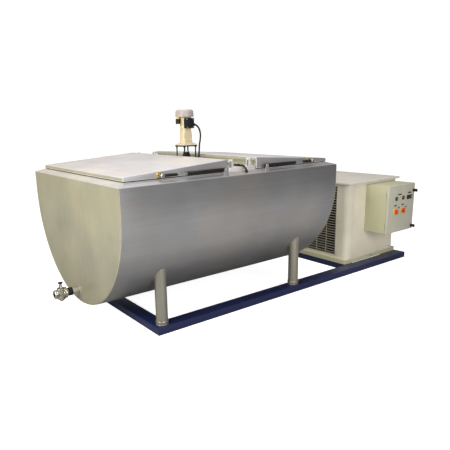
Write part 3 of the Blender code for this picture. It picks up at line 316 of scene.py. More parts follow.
@dataclass(frozen=True)
class Paint(Finish):
    """Sprayed or powder-coated metal with a pebbled skin, dusty spots and rubbed edges.

    Args:
        roughness: Middle roughness.
        worn: The colour that shows where edges are rubbed.
        wear: How much of the edges is rubbed, from 0 to 1.
        coat: Clear coat weight.
    """

    roughness: float = 0.42
    worn: Colour = (0.45, 0.44, 0.42)
    wear: float = 0.35
    coat: float = 0.0

    def build(self, surface: Surface) -> bpy.types.Material:
        """Tone and grime from noise, pebbling as bump, wear from the mesh's edge value."""
        cloud = surface.noise(3.5, 4.0)
        grime = surface.noise(26.0, 6.0, rough=0.68)
        base = surface.ramp(cloud, ((0.30, tint(self.colour, 0.93)), (0.70, tint(self.colour, 1.05))))
        spots = surface.ramp(grime, ((0.24, (0.86, 0.84, 0.80)), (0.44, (1.0, 1.0, 1.0))))
        colour = surface.mix(0.30, base, spots, "MULTIPLY")
        chips = surface.noise(75.0, 5.0, rough=0.75)
        edge = surface.attribute("edge")
        rubbed = surface.scale_range(chips, 0.0, 1.0, 0.60 - 0.12 * self.wear, 0.66 - 0.12 * self.wear)
        mask = surface.add("ShaderNodeMath", {0: edge, 1: rubbed}, operation="MULTIPLY", use_clamp=True)
        colour = surface.mix(mask.outputs[0], colour, (*self.worn, 1.0))
        rough = surface.scale_range(grime, self.roughness + 0.08, self.roughness - 0.05, 0.3, 0.7)
        pebble = surface.bump(surface.noise(520.0, 2.0), 0.00006, 0.4)
        relief = surface.bump(chips, 0.0001, 0.10, pebble)
        return surface.finish(
            Base_Color=colour,
            Roughness=rough,
            Normal=relief,
            Coat_Weight=self.coat,
            Coat_Roughness=0.25,
        )


@dataclass(frozen=True)
class Moulding(Finish):
    """Moulded plastic or rubber with a fine texture and a little dust.

    Args:
        roughness: Middle roughness.
        dust: The colour of what settles on it.
        grain_depth: Depth of its texture in metres.
        coat: Clear coat weight.
        shine: Specular level.
    """

    roughness: float = 0.45
    dust: Colour = (0.20, 0.19, 0.17)
    grain_depth: float = 0.00008
    coat: float = 0.0
    shine: float = 0.5

    def build(self, surface: Surface) -> bpy.types.Material:
        """Tone and dust from noise, texture as bump."""
        cloud = surface.noise(14.0, 4.0)
        settled = surface.noise(48.0, 6.0, rough=0.7)
        base = surface.ramp(cloud, ((0.3, tint(self.colour, 0.85)), (0.7, tint(self.colour, 1.12))))
        mask = surface.scale_range(settled, 0.0, 0.16, 0.50, 0.78)
        colour = surface.mix(mask, base, (*self.dust, 1.0))
        rough = surface.scale_range(settled, self.roughness - 0.06, self.roughness + 0.12, 0.3, 0.7)
        relief = surface.bump(surface.noise(900.0, 2.0), self.grain_depth, 0.6)
        return surface.finish(
            Base_Color=colour,
            Roughness=rough,
            Normal=relief,
            Coat_Weight=self.coat,
            Coat_Roughness=0.15,
            Specular_IOR_Level=self.shine,
        )


@dataclass(frozen=True)
class Plated(Finish):
    """Polished, plated or bare small metalwork with water marks and fine scratches.

    Args:
        roughness: Middle roughness.
        metal: How metallic it is.
        stain: The colour of its marks.
    """

    roughness: float = 0.16
    metal: float = 1.0
    stain: Colour = (0.50, 0.47, 0.40)

    def build(self, surface: Surface) -> bpy.types.Material:
        """Marks in colour and roughness, scratches as bump."""
        marks = surface.noise(55.0, 6.0, rough=0.7)
        fine = surface.noise(700.0, 3.0, (1.0, 1.0, 0.08))
        base = surface.ramp(marks, ((0.30, self.stain), (0.52, self.colour), (0.8, tint(self.colour, 1.06))))
        rough = surface.scale_range(marks, self.roughness + 0.18, self.roughness, 0.3, 0.6)
        return surface.finish(
            Base_Color=base,
            Roughness=rough,
            Metallic=self.metal,
            Normal=surface.bump(fine, 0.00003, 0.4),
        )


@dataclass(frozen=True)
class Foam(Finish):
    """Rigid sprayed foam with open cells."""

    def build(self, surface: Surface) -> bpy.types.Material:
        """Cells from a cell pattern, and a patchy tone."""
        cells = surface.add("ShaderNodeTexVoronoi", {"Vector": surface.place, "Scale": 260.0})
        tone = surface.ramp(
            surface.noise(8.0, 4.0), ((0.3, tint(self.colour, 0.82)), (0.7, tint(self.colour, 1.08)))
        )
        return surface.finish(
            Base_Color=tone, Roughness=0.92, Normal=surface.bump(cells.outputs[0], 0.0012, 0.7)
        )


# Its height factors paint shade and reflection: dark towards the bottom and the top, with a painted reflection band
# across the middle of the side.
JACKET_STEEL = SheetSteel(
    "jacket_sheet",
    "jacket_steel",
    (0.478, 0.474, 0.472),
    roughness=0.40,
    grain=Axis.X,
    metal=0.55,
    painted_light_by_height=((0.12, 0.34), (0.34, 0.62), (0.56, 0.92), (0.72, 0.86), (0.86, 0.60), (0.98, 0.52)),
)
# A lighter, olive copy of the jacket sheet for the tank's end faces: painted light and reflection on the faces that
# look along X; its height factors darken it towards the bottom as painted shade.
LIT_END_STEEL = SheetSteel(
    "lit_jacket_end_sheet",
    "jacket_steel",
    (0.56, 0.54, 0.40),
    roughness=0.42,
    grain=Axis.Z,
    metal=0.45,
    painted_light_by_height=((0.10, 0.60), (0.45, 0.84), (0.70, 0.98), (0.95, 1.0)),
    mottle=0.16,
)
LEG_STEEL = SheetSteel("leg_tube", "jacket_steel", (0.40, 0.385, 0.315), roughness=0.36, grain=Axis.Z, metal=0.7)
LID_STEEL = SheetSteel("lid_sheet", "lid_steel", (0.80, 0.765, 0.76), roughness=0.42, grain=Axis.Y, metal=0.35)
RIM_STEEL = SheetSteel("rim_sheet", "lid_steel", (0.78, 0.76, 0.70), roughness=0.38, grain=Axis.X, metal=0.45)
# A darker copy of the lid sheet for the faces that look along Y, the rim's sloping skirts and the strut ears: painted
# shade.
SHADED_LID_SIDE = SheetSteel("shaded_lid_side_sheet", "lid_steel", (0.44, 0.43, 0.425), roughness=0.40, grain=Axis.X, metal=0.55)
# An olive copy of the lid sheet for the faces that look along X and the hinge rods: painted shade and reflection.
SHADED_LID_END = SheetSteel("shaded_lid_end_sheet", "lid_steel", (0.52, 0.52, 0.385), roughness=0.42, grain=Axis.Y, metal=0.4)
VESSEL_STEEL = SheetSteel(
    "vessel_sheet", "polished_steel", (0.66, 0.66, 0.65), roughness=0.32, metal=0.9, waviness=0.0003
)
BAR_STEEL = Plated("bright_bar", "polished_steel", (0.80, 0.80, 0.78), roughness=0.14)
# Its dark colour and darker marks paint the dark reflections in the chrome: painted reflection.
VALVE_CHROME_PAINTED_REFLECTION = Plated("valve_plate_painted_reflection", "valve_chrome", (0.52, 0.51, 0.44), roughness=0.16, stain=(0.22, 0.20, 0.15))
WELD = Plated("weld_metal", "jacket_steel", (0.55, 0.54, 0.52), roughness=0.38, stain=(0.36, 0.33, 0.28))
BOLT_ZINC = Plated("zinc_bolt", "jacket_steel", (0.62, 0.61, 0.58), roughness=0.30, stain=(0.42, 0.38, 0.30))
NAVY = Paint("navy_enamel", "frame_blue", (0.011, 0.018, 0.080), roughness=0.38, wear=0.25, worn=(0.10, 0.11, 0.17))
CREAM = Paint("cream_coat", "cabinet_cream", (0.83, 0.775, 0.63), roughness=0.46, wear=0.2, worn=(0.42, 0.37, 0.25))
TOP_CREAM = Paint("top_coat", "cabinet_cream", (0.74, 0.70, 0.62), roughness=0.46, wear=0.3, worn=(0.42, 0.37, 0.25))
BOX_CREAM = Paint("box_coat", "cabinet_cream", (0.60, 0.585, 0.375), roughness=0.44, wear=0.2, worn=(0.35, 0.32, 0.2))
DOOR_CREAM = Paint("door_coat", "cabinet_cream", (0.585, 0.575, 0.465), roughness=0.44, wear=0.2, worn=(0.35, 0.32, 0.2))
GRILLE_CREAM = Paint("grille_coat", "cabinet_cream", (0.50, 0.47, 0.36), roughness=0.5, wear=0.2)
MOTOR_CREAM = Paint("motor_paint", "motor_casting", (0.70, 0.60, 0.40), roughness=0.40, wear=0.3, coat=0.1)
COWL_WHITE = Moulding("cowl_shell", "cowl_white", (0.44, 0.385, 0.375), roughness=0.42, dust=(0.34, 0.30, 0.27))
BLACK_PLASTIC = Moulding(
    "black_shell", "black_plastic", (0.010, 0.010, 0.011), roughness=0.42, dust=(0.045, 0.042, 0.038), shine=0.25
)
BLACK_STEEL = Moulding(
    "black_enamel", "black_steel", (0.010, 0.010, 0.012), roughness=0.34, dust=(0.040, 0.038, 0.036), shine=0.30
)
RUBBER = Moulding(
    "rubber_skin",
    "black_rubber",
    (0.012, 0.012, 0.012),
    roughness=0.66,
    dust=(0.045, 0.042, 0.038),
    grain_depth=0.0002,
    shine=0.2,
)
PASSIVATED = Plated("yellow_plate", "plated_bracket", (0.62, 0.45, 0.13), roughness=0.30, metal=0.8, stain=(0.40, 0.26, 0.07))
FOAM = Foam("rigid_foam", "foam", (0.72, 0.60, 0.33))
COPPER = Plated("copper_tube", "copper_line", (0.72, 0.36, 0.20), roughness=0.26, stain=(0.30, 0.15, 0.09))
LAGGING = Moulding("pipe_lagging", "copper_line", (0.020, 0.020, 0.020), roughness=0.85, grain_depth=0.0005)
# Near-black fins stand for the shade inside the cabinet behind the grille: painted shade.
SHADE_DARK_FINS = Plated("shade_dark_fins", "coil_fins", (0.026, 0.025, 0.023), roughness=0.6, metal=0.3, stain=(0.020, 0.018, 0.015))
ENAMEL = Paint("compressor_enamel", "compressor_black", (0.02, 0.02, 0.02), roughness=0.30, wear=0.2)
RED_HANDLE = Moulding("red_lever", "red_handle", (0.72, 0.045, 0.02), roughness=0.30, coat=0.3)
SWITCH_YELLOW = Moulding("yellow_plate_moulding", "red_handle", (0.80, 0.58, 0.03), roughness=0.35, coat=0.2)
GREEN_CAP = Moulding("green_button", "green_cap", (0.015, 0.17, 0.07), roughness=0.28, coat=0.4)
RED_CAP = Moulding("dark_red_button", "red_cap", (0.36, 0.012, 0.015), roughness=0.28, coat=0.4)
GEAR_GREY = Moulding("gear_case", "milky_gear", (0.42, 0.42, 0.40), roughness=0.45)
SCREEN = Moulding("dark_window", "black_plastic", (0.010, 0.012, 0.016), roughness=0.10, grain_depth=0.000005, coat=0.8)
LABEL = Moulding("engraved_strip", "black_plastic", (0.035, 0.035, 0.033), roughness=0.40, dust=(0.08, 0.08, 0.07))


# ---------------------------------------------------------------- mesh shop


def blank() -> Shape:
    """An empty mesh with the edge value that worn paint reads."""
    bm = bmesh.new()
    bm.verts.layers.float.new("edge")
    return bm


def mark_edges(bm: Shape, faces: Iterable[bmesh.types.BMFace]) -> None:
    """Sets the edge value to 1 at the corners that lie wholly inside the faces given."""
    layer = bm.verts.layers.float["edge"]
    rounding = set(faces)
    for face in rounding:
        for vert in face.verts:
            if rounding.issuperset(vert.link_faces):
                vert[layer] = 1.0


def softened(bm: Shape, edges: Iterable[bmesh.types.BMEdge], radius: float, segments: int = 3) -> None:
    """Rounds edges and marks what it makes as edge."""
    made = bmesh.ops.bevel(
        bm,
        geom=list(edges),
        offset=radius,
        segments=segments,
        profile=0.5,
        affect="EDGES",
        clamp_overlap=True,
    )
    mark_edges(bm, made["faces"])


def block(low: Vector | Point, high: Vector | Point, radius: float = 0.0, segments: int = 3) -> Shape:
    """A box with rounded edges.

    Args:
        low: Lowest corner.
        high: Highest corner.
        radius: Radius of its edges.
        segments: Facets across a rounded edge.

    Returns:
        The mesh.
    """
    low, high = Vector(low), Vector(high)
    bm = blank()
    place = Matrix.Translation((low + high) / 2) @ Matrix.Diagonal((*(high - low), 1))
    bmesh.ops.create_cube(bm, size=1, matrix=place)
    if radius:
        softened(bm, bm.edges, radius, segments)
    return bm


def arc(centre: Pair, radius: float, start: float, end: float, steps: int) -> list[Pair]:
    """Points along an arc, with its angles in degrees."""
    turns = [math.radians(start + (end - start) * i / steps) for i in range(steps + 1)]
    return [(centre[0] + radius * math.cos(t), centre[1] + radius * math.sin(t)) for t in turns]


def rounded(x: Pair, y: Pair, radius: float, steps: int = 12) -> list[Pair]:
    """The outline of a rectangle with round corners."""
    corners = ((x[1], y[1], 0, -1, -1), (x[0], y[1], 90, 1, -1), (x[0], y[0], 180, 1, 1), (x[1], y[0], 270, -1, 1))
    points: list[Pair] = []
    for a, b, start, sx, sy in corners:
        points += arc((a + sx * radius, b + sy * radius), radius, start, start + 90, steps)
    return points


def frame_of(axis: Axis) -> Matrix:
    """Turns a flat outline's first and second coordinates and its depth to the row's axes."""
    columns = {
        Axis.X: ((0, 1, 0), (0, 0, 1), (1, 0, 0)),
        Axis.Y: ((1, 0, 0), (0, 0, 1), (0, 1, 0)),
        Axis.Z: ((1, 0, 0), (0, 1, 0), (0, 0, 1)),
    }[axis]
    return Matrix(columns).transposed().to_4x4()


def plate(
    outline: Sequence[Pair], axis: Axis, low: float, high: float, radius: float = 0.0, segments: int = 2
) -> Shape:
    """Extrudes an outline along an axis.

    Args:
        outline: Its corners, as (y, z), (x, z) or (x, y).
        axis: The axis it's extruded along.
        low: Where it starts.
        high: Where it ends.
        radius: Rounding of the edges round its two faces.
        segments: Facets across a rounded edge.

    Returns:
        The mesh.
    """
    bm = blank()
    rings = [[bm.verts.new((a, b, depth)) for a, b in outline] for depth in (low, high)]
    count = len(outline)
    caps = [bm.faces.new(rings[0]), bm.faces.new(rings[1])]
    for i in range(count):
        j = (i + 1) % count
        bm.faces.new((rings[0][i], rings[0][j], rings[1][j], rings[1][i]))
    if radius:
        softened(bm, {e for cap in caps for e in cap.edges}, radius, segments)
    bmesh.ops.transform(bm, matrix=frame_of(axis), verts=bm.verts[:])
    bmesh.ops.recalc_face_normals(bm, faces=bm.faces[:])
    return bm


def upright(outline: Iterable[Pair], low: float, high: float, radius: float = 0.0, segments: int = 2) -> Shape:
    """A standing plate, with its outline in bench x and z and its depth in bench y."""
    place = [(DATUM.x + a, b) for a, b in outline]
    return plate(place, Axis.Y, DATUM.y + low, DATUM.y + high, radius, segments)


def level(outline: Iterable[Pair], low: float, high: float, radius: float = 0.0, segments: int = 2) -> Shape:
    """A level plate, with its outline in bench x and y and its depth in height."""
    place = [(DATUM.x + a, DATUM.y + b) for a, b in outline]
    return plate(place, Axis.Z, low, high, radius, segments)


def sealed(bm: Shape) -> Shape:
    """A mesh with its doubles merged and its faces turned outwards."""
    bmesh.ops.remove_doubles(bm, verts=bm.verts[:], dist=1e-6)
    bmesh.ops.recalc_face_normals(bm, faces=bm.faces[:])
    return bm


def loft(rings: Sequence[Sequence[Vector]], closed: bool = True, caps: bool = True) -> Shape:
    """A skin through rings of equal length.

    Args:
        rings: The rings, in order.
        closed: Whether each ring joins its own ends.
        caps: Whether the first and last rings are filled.

    Returns:
        The mesh.
    """
    bm = blank()
    rows = [[bm.verts.new(p) for p in ring] for ring in rings]
    count = len(rings[0])
    for first, second in zip(rows, rows[1:]):
        for i in range(count if closed else count - 1):
            j = (i + 1) % count
            bm.faces.new((first[i], first[j], second[j], second[i]))
    if caps:
        bm.faces.new(rows[0])
        bm.faces.new(rows[-1])
    bmesh.ops.recalc_face_normals(bm, faces=bm.faces[:])
    return bm


def lathe(profile: Sequence[Pair], base: Vector | Point, axis: Vector, sides: int = 64) -> Shape:
    """Turns a profile about an axis.

    Args:
        profile: (radius, height) points. One that starts and ends off the axis is closed on itself.
        base: Where height is zero.
        axis: The direction of height.
        sides: Facets round the piece.

    Returns:
        The mesh.
    """
    bm = blank()
    turn = Vector(axis).to_track_quat("Z", "Y").to_matrix().to_4x4()
    place = Matrix.Translation(base) @ turn
    rows = []
    for radius, height in profile:
        if radius < 1e-9:
            rows.append([bm.verts.new((0, 0, height))])
            continue
        rows.append([bm.verts.new((a, b, height)) for a, b in arc((0, 0), radius, 0, 360, sides)[:-1]])
    pairs = list(zip(rows, rows[1:]))
    if len(rows[0]) > 1 and len(rows[-1]) > 1:
        pairs.append((rows[-1], rows[0]))
    for first, second in pairs:
        for i in range(sides):
            j = (i + 1) % sides
            corners = [first[i % len(first)], first[j % len(first)], second[j % len(second)], second[i % len(second)]]
            bm.faces.new(list(dict.fromkeys(corners)))
    bmesh.ops.transform(bm, matrix=place, verts=bm.verts[:])
    bmesh.ops.recalc_face_normals(bm, faces=bm.faces[:])
    return bm


def softened_profile(points: Sequence[Pair], radius: float, steps: int = 3) -> list[Pair]:
    """A profile whose corners off the axis are cut by short curves."""
    out = [points[0]]
    for before, corner, after in zip(points, points[1:], points[2:]):
        a, b, c = Vector(before), Vector(corner), Vector(after)
        reach = min(radius, (a - b).length * 0.45, (c - b).length * 0.45)
        start = b + (a - b).normalized() * reach
        end = b + (c - b).normalized() * reach
        for i in range(steps + 1):
            t = i / steps
            p = start * (1 - t) ** 2 + b * 2 * t * (1 - t) + end * t * t
            out.append((p.x, p.y))
    out.append(points[-1])
    return out


def spline(points: Sequence[Vector], step: float) -> list[Vector]:
    """Points about a step apart on a smooth curve through the points given."""
    knots = [Vector(p) for p in points]
    knots = [2 * knots[0] - knots[1], *knots, 2 * knots[-1] - knots[-2]]
    route = [knots[1]]
    for a, b, c, d in zip(knots, knots[1:], knots[2:], knots[3:]):
        count = max(1, round((c - b).length / step))
        for i in range(1, count + 1):
            t = i / count
            part = 2 * b + (c - a) * t + (2 * a - 5 * b + 4 * c - d) * t * t
            route.append((part + (3 * b - a - 3 * c + d) * t * t * t) / 2)
    return route


def pipe(points: Sequence[Vector], radius: float, sides: int = 16) -> Shape:
    """A round tube along points, with closed ends."""
    rings = []
    across = None
    for i, point in enumerate(points):
        ahead = (points[min(i + 1, len(points) - 1)] - points[max(i - 1, 0)]).normalized()
        if across is None:
            across = ahead.orthogonal().normalized()
        across = (across - ahead * across.dot(ahead)).normalized()
        up = ahead.cross(across)
        rings.append([point + radius * (across * a + up * b) for a, b in arc((0, 0), 1, 0, 360, sides)[:-1]])
    return loft(rings)


def evaluated(obj: bpy.types.Object) -> bpy.types.Mesh:
    """The mesh that an object's modifiers make, with the object removed."""
    graph = bpy.context.evaluated_depsgraph_get()
    mesh = bpy.data.meshes.new_from_object(obj.evaluated_get(graph))
    bpy.data.objects.remove(obj, do_unlink=True)
    return mesh


def gathered(*parts: Shape | bpy.types.Mesh) -> Shape:
    """Several meshes of either kind laid in one."""
    bm = blank()
    for part in parts:
        mesh = part
        if isinstance(part, Shape):
            mesh = bpy.data.meshes.new("part")
            part.to_mesh(mesh)
            part.free()
        bm.from_mesh(mesh)
        bpy.data.meshes.remove(mesh)
    return bm


def as_object(bm: Shape | bpy.types.Mesh, name: str) -> bpy.types.Object:
    """A linked object that holds the mesh."""
    mesh = bm
    if isinstance(bm, Shape):
        mesh = bpy.data.meshes.new(name)
        bm.to_mesh(mesh)
        bm.free()
    obj = bpy.data.objects.new(name, mesh)
    bpy.context.scene.collection.objects.link(obj)
    return obj


def carved(bm: Shape, *tools: Shape) -> Shape:
    """A mesh with others cut out of it."""
    body = as_object(bm, "carving")
    helpers = []
    for tool in tools:
        helper = as_object(tool, "tool")
        step = body.modifiers.new("cut", "BOOLEAN")
        step.operation, step.solver, step.object = "DIFFERENCE", "EXACT", helper
        helpers.append(helper)
    mesh = evaluated(body)
    for helper in helpers:
        bpy.data.objects.remove(helper, do_unlink=True)
    return gathered(mesh)


def walled(bm: Shape, thickness: float) -> Shape:
    """An open skin given a wall on its inner side."""
    obj = as_object(bm, "skin")
    solid = obj.modifiers.new("wall", "SOLIDIFY")
    solid.thickness, solid.offset, solid.use_even_offset = thickness, -1.0, True
    return gathered(evaluated(obj))


def fit(
    name: str,
    shape: Shape | bpy.types.Mesh,
    finish: Finish,
    body: str = "tank",
    replaces: Sequence[str] = (),
    smooth: float = 38.0,
) -> bpy.types.Object:
    """Finishes a piece and gives it to the body that it rides on.

    Args:
        name: The piece's name.
        shape: Its mesh, in place.
        finish: What it's finished with.
        body: The body that it moves with.
        replaces: The CAD nodes that it stands for.
        smooth: Edges sharper than this many degrees stay crisp.

    Returns:
        The piece's object.
    """
    obj = as_object(shape, name)
    obj.name = name
    obj.data.materials.clear()
    obj.data.materials.append(finish.material)
    obj.data.shade_smooth()
    obj.data.set_sharp_from_angle(angle=math.radians(smooth))
    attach(obj, body)
    if replaces:
        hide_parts(*replaces)
    LOG.info("%s: %d faces on %s", name, len(obj.data.polygons), body)
    return obj


def paint_light_by_facing(obj: bpy.types.Object, near_far_shade: Finish | None, ends: Finish | None) -> None:
    """Gives a sheet piece's upright faces lit and shaded copies of its finish: painted light and shade by which way
    each face looks.

    Args:
        obj: The piece.
        near_far_shade: A darker copy for the faces that look along Y: painted shade.
        ends: The copy for the faces that look along X, lighter on the jacket's ends and darker on the lids: painted
            light and shade.
    """
    for finish, axis in ((near_far_shade, 1), (ends, 0)):
        if finish is None:
            continue
        obj.data.materials.append(finish.material)
        index = len(obj.data.materials) - 1
        for face in obj.data.polygons:
            if abs(face.normal[axis]) > (0.25 if abs(face.normal.z) > 0.3 and axis == 1 else 0.9):
                face.material_index = index


def coat(finish: Finish, *nodes: str) -> None:
    """Gives CAD nodes their finish."""
    for node in nodes:
        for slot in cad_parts[node].material_slots:
            slot.material = finish.material
        LOG.info("%s: finished with %s", node, finish.name)


# ---------------------------------------------------------------- what repeats


class Repeater(Graph):
    """A geometry tree with named inputs, which ends in realised copies with their finish on."""

    def __init__(self, name: str, inputs: dict[str, object]) -> None:
        """Makes the tree and its sockets.

        Args:
            name: The tree's name.
            inputs: Each input's name and first value, which also sets its kind.
        """
        super().__init__(bpy.data.node_groups.new(name, "GeometryNodeTree"))
        self.sockets: dict[str, str] = {}
        kinds = {int: "NodeSocketInt", float: "NodeSocketFloat", tuple: "NodeSocketVector"}
        face = self.tree.interface
        face.new_socket("Geometry", in_out="INPUT", socket_type="NodeSocketGeometry")
        for label, value in inputs.items():
            socket = face.new_socket(label, in_out="INPUT", socket_type=kinds[type(value)])
            socket.default_value = value
            self.sockets[label] = socket.identifier
        finish = face.new_socket("Finish", in_out="INPUT", socket_type="NodeSocketMaterial")
        self.sockets["Finish"] = finish.identifier
        face.new_socket("Geometry", in_out="OUTPUT", socket_type="NodeSocketGeometry")
        self.source = self.add("NodeGroupInput").outputs
        self.sink = self.add("NodeGroupOutput")

    def close(self, geometry: Socket) -> None:
        """Realises the copies, sets their finish and joins them to the output."""
        real = self.add("GeometryNodeRealizeInstances", {0: geometry}).outputs[0]
        done = self.add("GeometryNodeSetMaterial", {"Geometry": real, "Material": self.source["Finish"]})
        self.tree.links.new(done.outputs[0], self.sink.inputs[0])

    def make(self, base: Shape, finish: Finish, **values: object) -> bpy.types.Mesh:
        """Runs the tree on a mesh.

        Args:
            base: The mesh that it starts from.
            finish: The copies' finish.
            **values: Its inputs. Underscores stand for spaces.

        Returns:
            A plain mesh.
        """
        obj = as_object(base, "repeating")
        step = obj.modifiers.new("copies", "NODES")
        step.node_group = self.tree
        step[self.sockets["Finish"]] = finish.material
        for label, value in values.items():
            step[self.sockets[label.replace("_", " ")]] = value
        return evaluated(obj)


def spots(points: Iterable[Vector]) -> Shape:
    """A mesh of loose points."""
    bm = blank()
    for point in points:
        bm.verts.new(point)
    return bm


def track(points: Sequence[Vector], closed: bool = False) -> Shape:
    """A mesh of edges that join points in order."""
    bm = blank()
    verts = [bm.verts.new(p) for p in points]
    for first, second in zip(verts, verts[1:]):
        bm.edges.new((first, second))
    if closed:
        bm.edges.new((verts[-1], verts[0]))
    return bm


class BoltMaker(Repeater):
    """Hexagon bolts on washers, one at each point of the mesh."""

    def __init__(self) -> None:
        """Builds one bolt from cylinders and a dome, and sets it on the points."""
        super().__init__(
            "bolts", {"Head": 0.006, "Height": 0.004, "Sides": 6, "Washer": 0.008, "Facing": (0.0, 0.0, 1.0), "Seed": 3}
        )
        washer_height = 0.0012
        washer = self.add(
            "GeometryNodeMeshCylinder", {"Vertices": 20, "Radius": self.source["Washer"], "Depth": washer_height}
        )
        head = self.add(
            "GeometryNodeMeshCylinder",
            {"Vertices": self.source["Sides"], "Radius": self.source["Head"], "Depth": self.source["Height"]},
        )
        half = self.add("ShaderNodeMath", {0: self.source["Height"], 1: 0.5}, operation="MULTIPLY")
        lift = self.add("ShaderNodeCombineXYZ", {"Z": half.outputs[0]})
        raised = self.add("GeometryNodeTransform", {"Geometry": head.outputs[0], "Translation": lift.outputs[0]})
        cap = self.add(
            "GeometryNodeMeshCone",
            {"Vertices": 16, "Radius Top": 0.0015, "Radius Bottom": 0.0035, "Depth": 0.0010},
        )
        top = self.add("ShaderNodeCombineXYZ", {"Z": self.source["Height"]})
        capped = self.add("GeometryNodeTransform", {"Geometry": cap.outputs[0], "Translation": top.outputs[0]})
        bolt = self.add("GeometryNodeJoinGeometry")
        for part in (washer.outputs[0], raised.outputs[0], capped.outputs[0]):
            self.tree.links.new(part, bolt.inputs[0])
        upright = self.add("FunctionNodeAlignRotationToVector", {"Vector": self.source["Facing"]}, axis="Z")
        spin = self.add(
            "FunctionNodeRandomValue", {"Seed": self.source["Seed"]}, data_type="FLOAT"
        )
        turn = self.add("FunctionNodeAxisAngleToRotation", {0: (0, 0, 1), 1: spin.outputs[1]})
        both = self.add("FunctionNodeRotateRotation", {0: upright.outputs[0], 1: turn.outputs[0]}, rotation_space="LOCAL")
        placed = self.add(
            "GeometryNodeInstanceOnPoints",
            {"Points": self.source["Geometry"], "Instance": bolt.outputs[0], "Rotation": both.outputs[0]},
        )
        self.close(placed.outputs[0])


class BlockMaker(Repeater):
    """A block of one size at each point of the mesh."""

    def __init__(self) -> None:
        """Sets a cube on each point."""
        super().__init__("blocks", {"Size": (0.01, 0.01, 0.01)})
        cube = self.add("GeometryNodeMeshCube", {"Size": self.source["Size"]})
        placed = self.add(
            "GeometryNodeInstanceOnPoints",
            {"Points": self.source["Geometry"], "Instance": cube.outputs[0]},
        )
        self.close(placed.outputs[0])


class BeadMaker(Repeater):
    """A weld bead: drops close together along the edges of the mesh."""

    def __init__(self) -> None:
        """Sets small spheres along the line, each a little different."""
        super().__init__("weld_bead", {"Radius": 0.002, "Spacing": 0.0022, "Seed": 7})
        line = self.add("GeometryNodeMeshToCurve", {0: self.source["Geometry"]})
        points = self.add(
            "GeometryNodeCurveToPoints",
            {"Curve": line.outputs[0], "Length": self.source["Spacing"]},
            mode="LENGTH",
        )
        drop = self.add("GeometryNodeMeshIcoSphere", {"Radius": self.source["Radius"], "Subdivisions": 1})
        size = self.add(
            "FunctionNodeRandomValue",
            {2: 0.85, 3: 1.15, "Seed": self.source["Seed"]},
            data_type="FLOAT",
        )
        placed = self.add(
            "GeometryNodeInstanceOnPoints",
            {
                "Points": points.outputs["Points"],
                "Instance": drop.outputs[0],
                "Rotation": points.outputs["Rotation"],
                "Scale": size.outputs[1],
            },
        )
        self.close(placed.outputs[0])


class KnurlMaker(Repeater):
    """Ridges round a cylinder, standing along its axis."""

    def __init__(self) -> None:
        """Sets a block on each point of a circle, turned to face outwards."""
        super().__init__("knurl", {"Count": 24, "Radius": 0.02, "Size": (0.002, 0.002, 0.02)})
        ring = self.add(
            "GeometryNodeMeshCircle", {"Vertices": self.source["Count"], "Radius": self.source["Radius"]}
        )
        place = self.add("GeometryNodeInputPosition")
        facing = self.add("FunctionNodeAlignRotationToVector", {"Vector": place.outputs[0]}, axis="X")
        block = self.add("GeometryNodeMeshCube", {"Size": self.source["Size"]})
        placed = self.add(
            "GeometryNodeInstanceOnPoints",
            {"Points": ring.outputs[0], "Instance": block.outputs[0], "Rotation": facing.outputs[0]},
        )
        self.close(placed.outputs[0])


@dataclass
class Workshop:
    """The geometry trees, each made once.

    Args:
        bolts: Hexagon bolts.
        blocks: Blocks on points.
        beads: Weld beads along lines.
        knurls: Ridges round a cylinder.
    """

    bolts: BoltMaker = field(default_factory=BoltMaker)
    blocks: BlockMaker = field(default_factory=BlockMaker)
    beads: BeadMaker = field(default_factory=BeadMaker)
    knurls: KnurlMaker = field(default_factory=KnurlMaker)

    def bolt(
        self,
        name: str,
        points: Sequence[Vector],
        facing: Vector,
        finish: Finish = BOLT_ZINC,
        head: float = 0.006,
        height: float = 0.004,
        body: str = "tank",
        sides: int = 6,
    ) -> None:
        """Fits bolts at points, facing one way.

        Args:
            name: The piece's name.
            points: Where their washers sit.
            facing: Which way the heads look.
            finish: What they're finished with.
            head: Head radius.
            height: Head height.
            body: The body that they ride on.
            sides: Flats on the head.
        """
        mesh = self.bolts.make(
            spots(points),
            finish,
            Head=head,
            Height=height,
            Washer=head * 1.35,
            Facing=tuple(facing),
            Sides=sides,
        )
        fit(name, mesh, finish, body, smooth=30)

    def weld(
        self,
        name: str,
        lines: Sequence[Sequence[Vector]],
        radius: float = 0.002,
        finish: Finish = WELD,
        body: str = "tank",
    ) -> None:
        """Lays weld beads along lines."""
        meshes = [self.beads.make(track(line), finish, Radius=radius, Spacing=radius * 1.1) for line in lines]
        fit(name, gathered(*meshes), finish, body, smooth=60)


# ---------------------------------------------------------------- the tank


def trough(radius: float, top: float, axis_z: float, steps: int = 72) -> list[Pair]:
    """Cross-section of the tank, with straight sides over a half circle."""
    bowl = arc((0, axis_z), radius, 180, 360, steps)
    return [(-radius, top), *bowl, (radius, top)]


